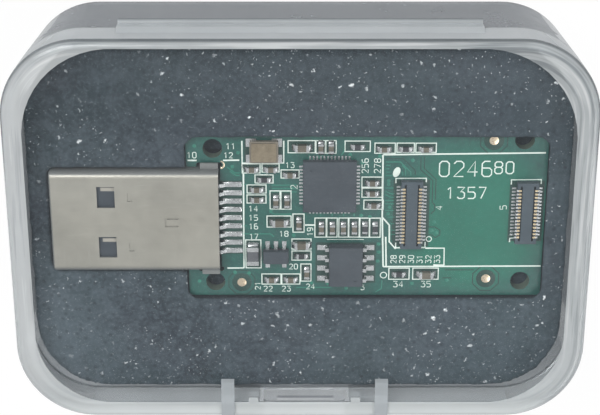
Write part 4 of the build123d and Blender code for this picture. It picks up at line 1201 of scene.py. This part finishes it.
# ---------------------------------------------------------------- lights and floor
# lengths in this section are in metres
LAMP_TARGET = Vector((0.0, 0.0, 0.01))
FLOOR_DROP = 0.0002             # the floor lies this far under the case, so that the two don't flicker
FLOOR_HALF = 1.5
FLOOR_PAINT = (0.86, 0.86, 0.86, 1.0)
FLOOR_MIRRORED = (0.42, 0.43, 0.44, 1.0)        # the floor as reflections and refractions show it
SKY_LOW = (0.36, 0.38, 0.40, 1.0)
SKY_HIGH = (0.96, 0.98, 1.0, 1.0)
SKY_STRENGTH = 0.72


def add_lamp(name, location, size, power):
    """A square lamp that points at the case."""
    data = bpy.data.lights.new(name, "AREA")
    data.shape = "RECTANGLE"
    data.size = data.size_y = size
    data.energy = power
    lamp = place_object(name, data)
    lamp.location = location
    lamp.rotation_euler = (LAMP_TARGET - Vector(location)).to_track_quat("-Z", "Y").to_euler()


def floor_paint():
    """White to the camera, greyer in reflections and through clear plastic."""
    material = bpy.data.materials.new("white_floor")
    material.use_nodes = True
    t = Tree(material.node_tree)
    t.tree.nodes.clear()
    out = t.add("ShaderNodeOutputMaterial")
    paint = t.add("ShaderNodeBsdfDiffuse")
    glow = t.add("ShaderNodeEmission")
    glow.inputs["Strength"].default_value = 1.0
    ray = t.add("ShaderNodeLightPath").outputs
    mirrored = t.math("MAXIMUM", ray["Is Glossy Ray"], ray["Is Transmission Ray"])
    t.link(t.mix(mirrored, FLOOR_PAINT, FLOOR_MIRRORED), paint.inputs["Color"])
    both = t.add("ShaderNodeMixShader")
    t.link(t.math("MAXIMUM", t.times(ray["Is Camera Ray"], 0.96), t.times(mirrored, 0.3)), both.inputs[0])
    t.link(paint.outputs[0], both.inputs[1])
    t.link(glow.outputs[0], both.inputs[2])
    t.link(both.outputs[0], out.inputs["Surface"])
    return material


def make_floor():
    bm = bmesh.new()
    bmesh.ops.create_grid(bm, x_segments=2, y_segments=2, size=FLOOR_HALF)
    floor = place_object("floor", mesh_from("floor", bm))
    floor.location.z = -FLOOR_DROP
    floor.data.materials.append(floor_paint())


def make_world():
    world = bpy.data.worlds.new("soft_studio")
    bpy.context.scene.world = world
    world.use_nodes = True
    t = Tree(world.node_tree)
    t.tree.nodes.clear()
    out = t.add("ShaderNodeOutputWorld")
    sky = t.add("ShaderNodeBackground")
    height = t.split(t.add("ShaderNodeTexCoord").outputs["Generated"])[2]
    t.link(t.mix(t.ramp(height, 0.0, 0.75), SKY_LOW, SKY_HIGH), sky.inputs["Color"])
    sky.inputs["Strength"].default_value = SKY_STRENGTH
    t.link(sky.outputs[0], out.inputs["Surface"])


# ---------------------------------------------------------------- the whole scene
make_moulding("base_moulding", "case_base", "case", BASE_WALL)
make_moulding("lid_moulding", "case_lid", "lid", LID_EDGE)
make_hinge_web()
make_foam()
make_print()
make_copper()
make_solder()
make_floor()
make_world()
add_lamp("key_lamp", (-0.25, 0.30, 0.55), 0.30, 2.5)
add_lamp("fill_lamp", (0.35, -0.25, 0.45), 0.35, 1.3)
bpy.context.scene.view_settings.view_transform = "Standard"
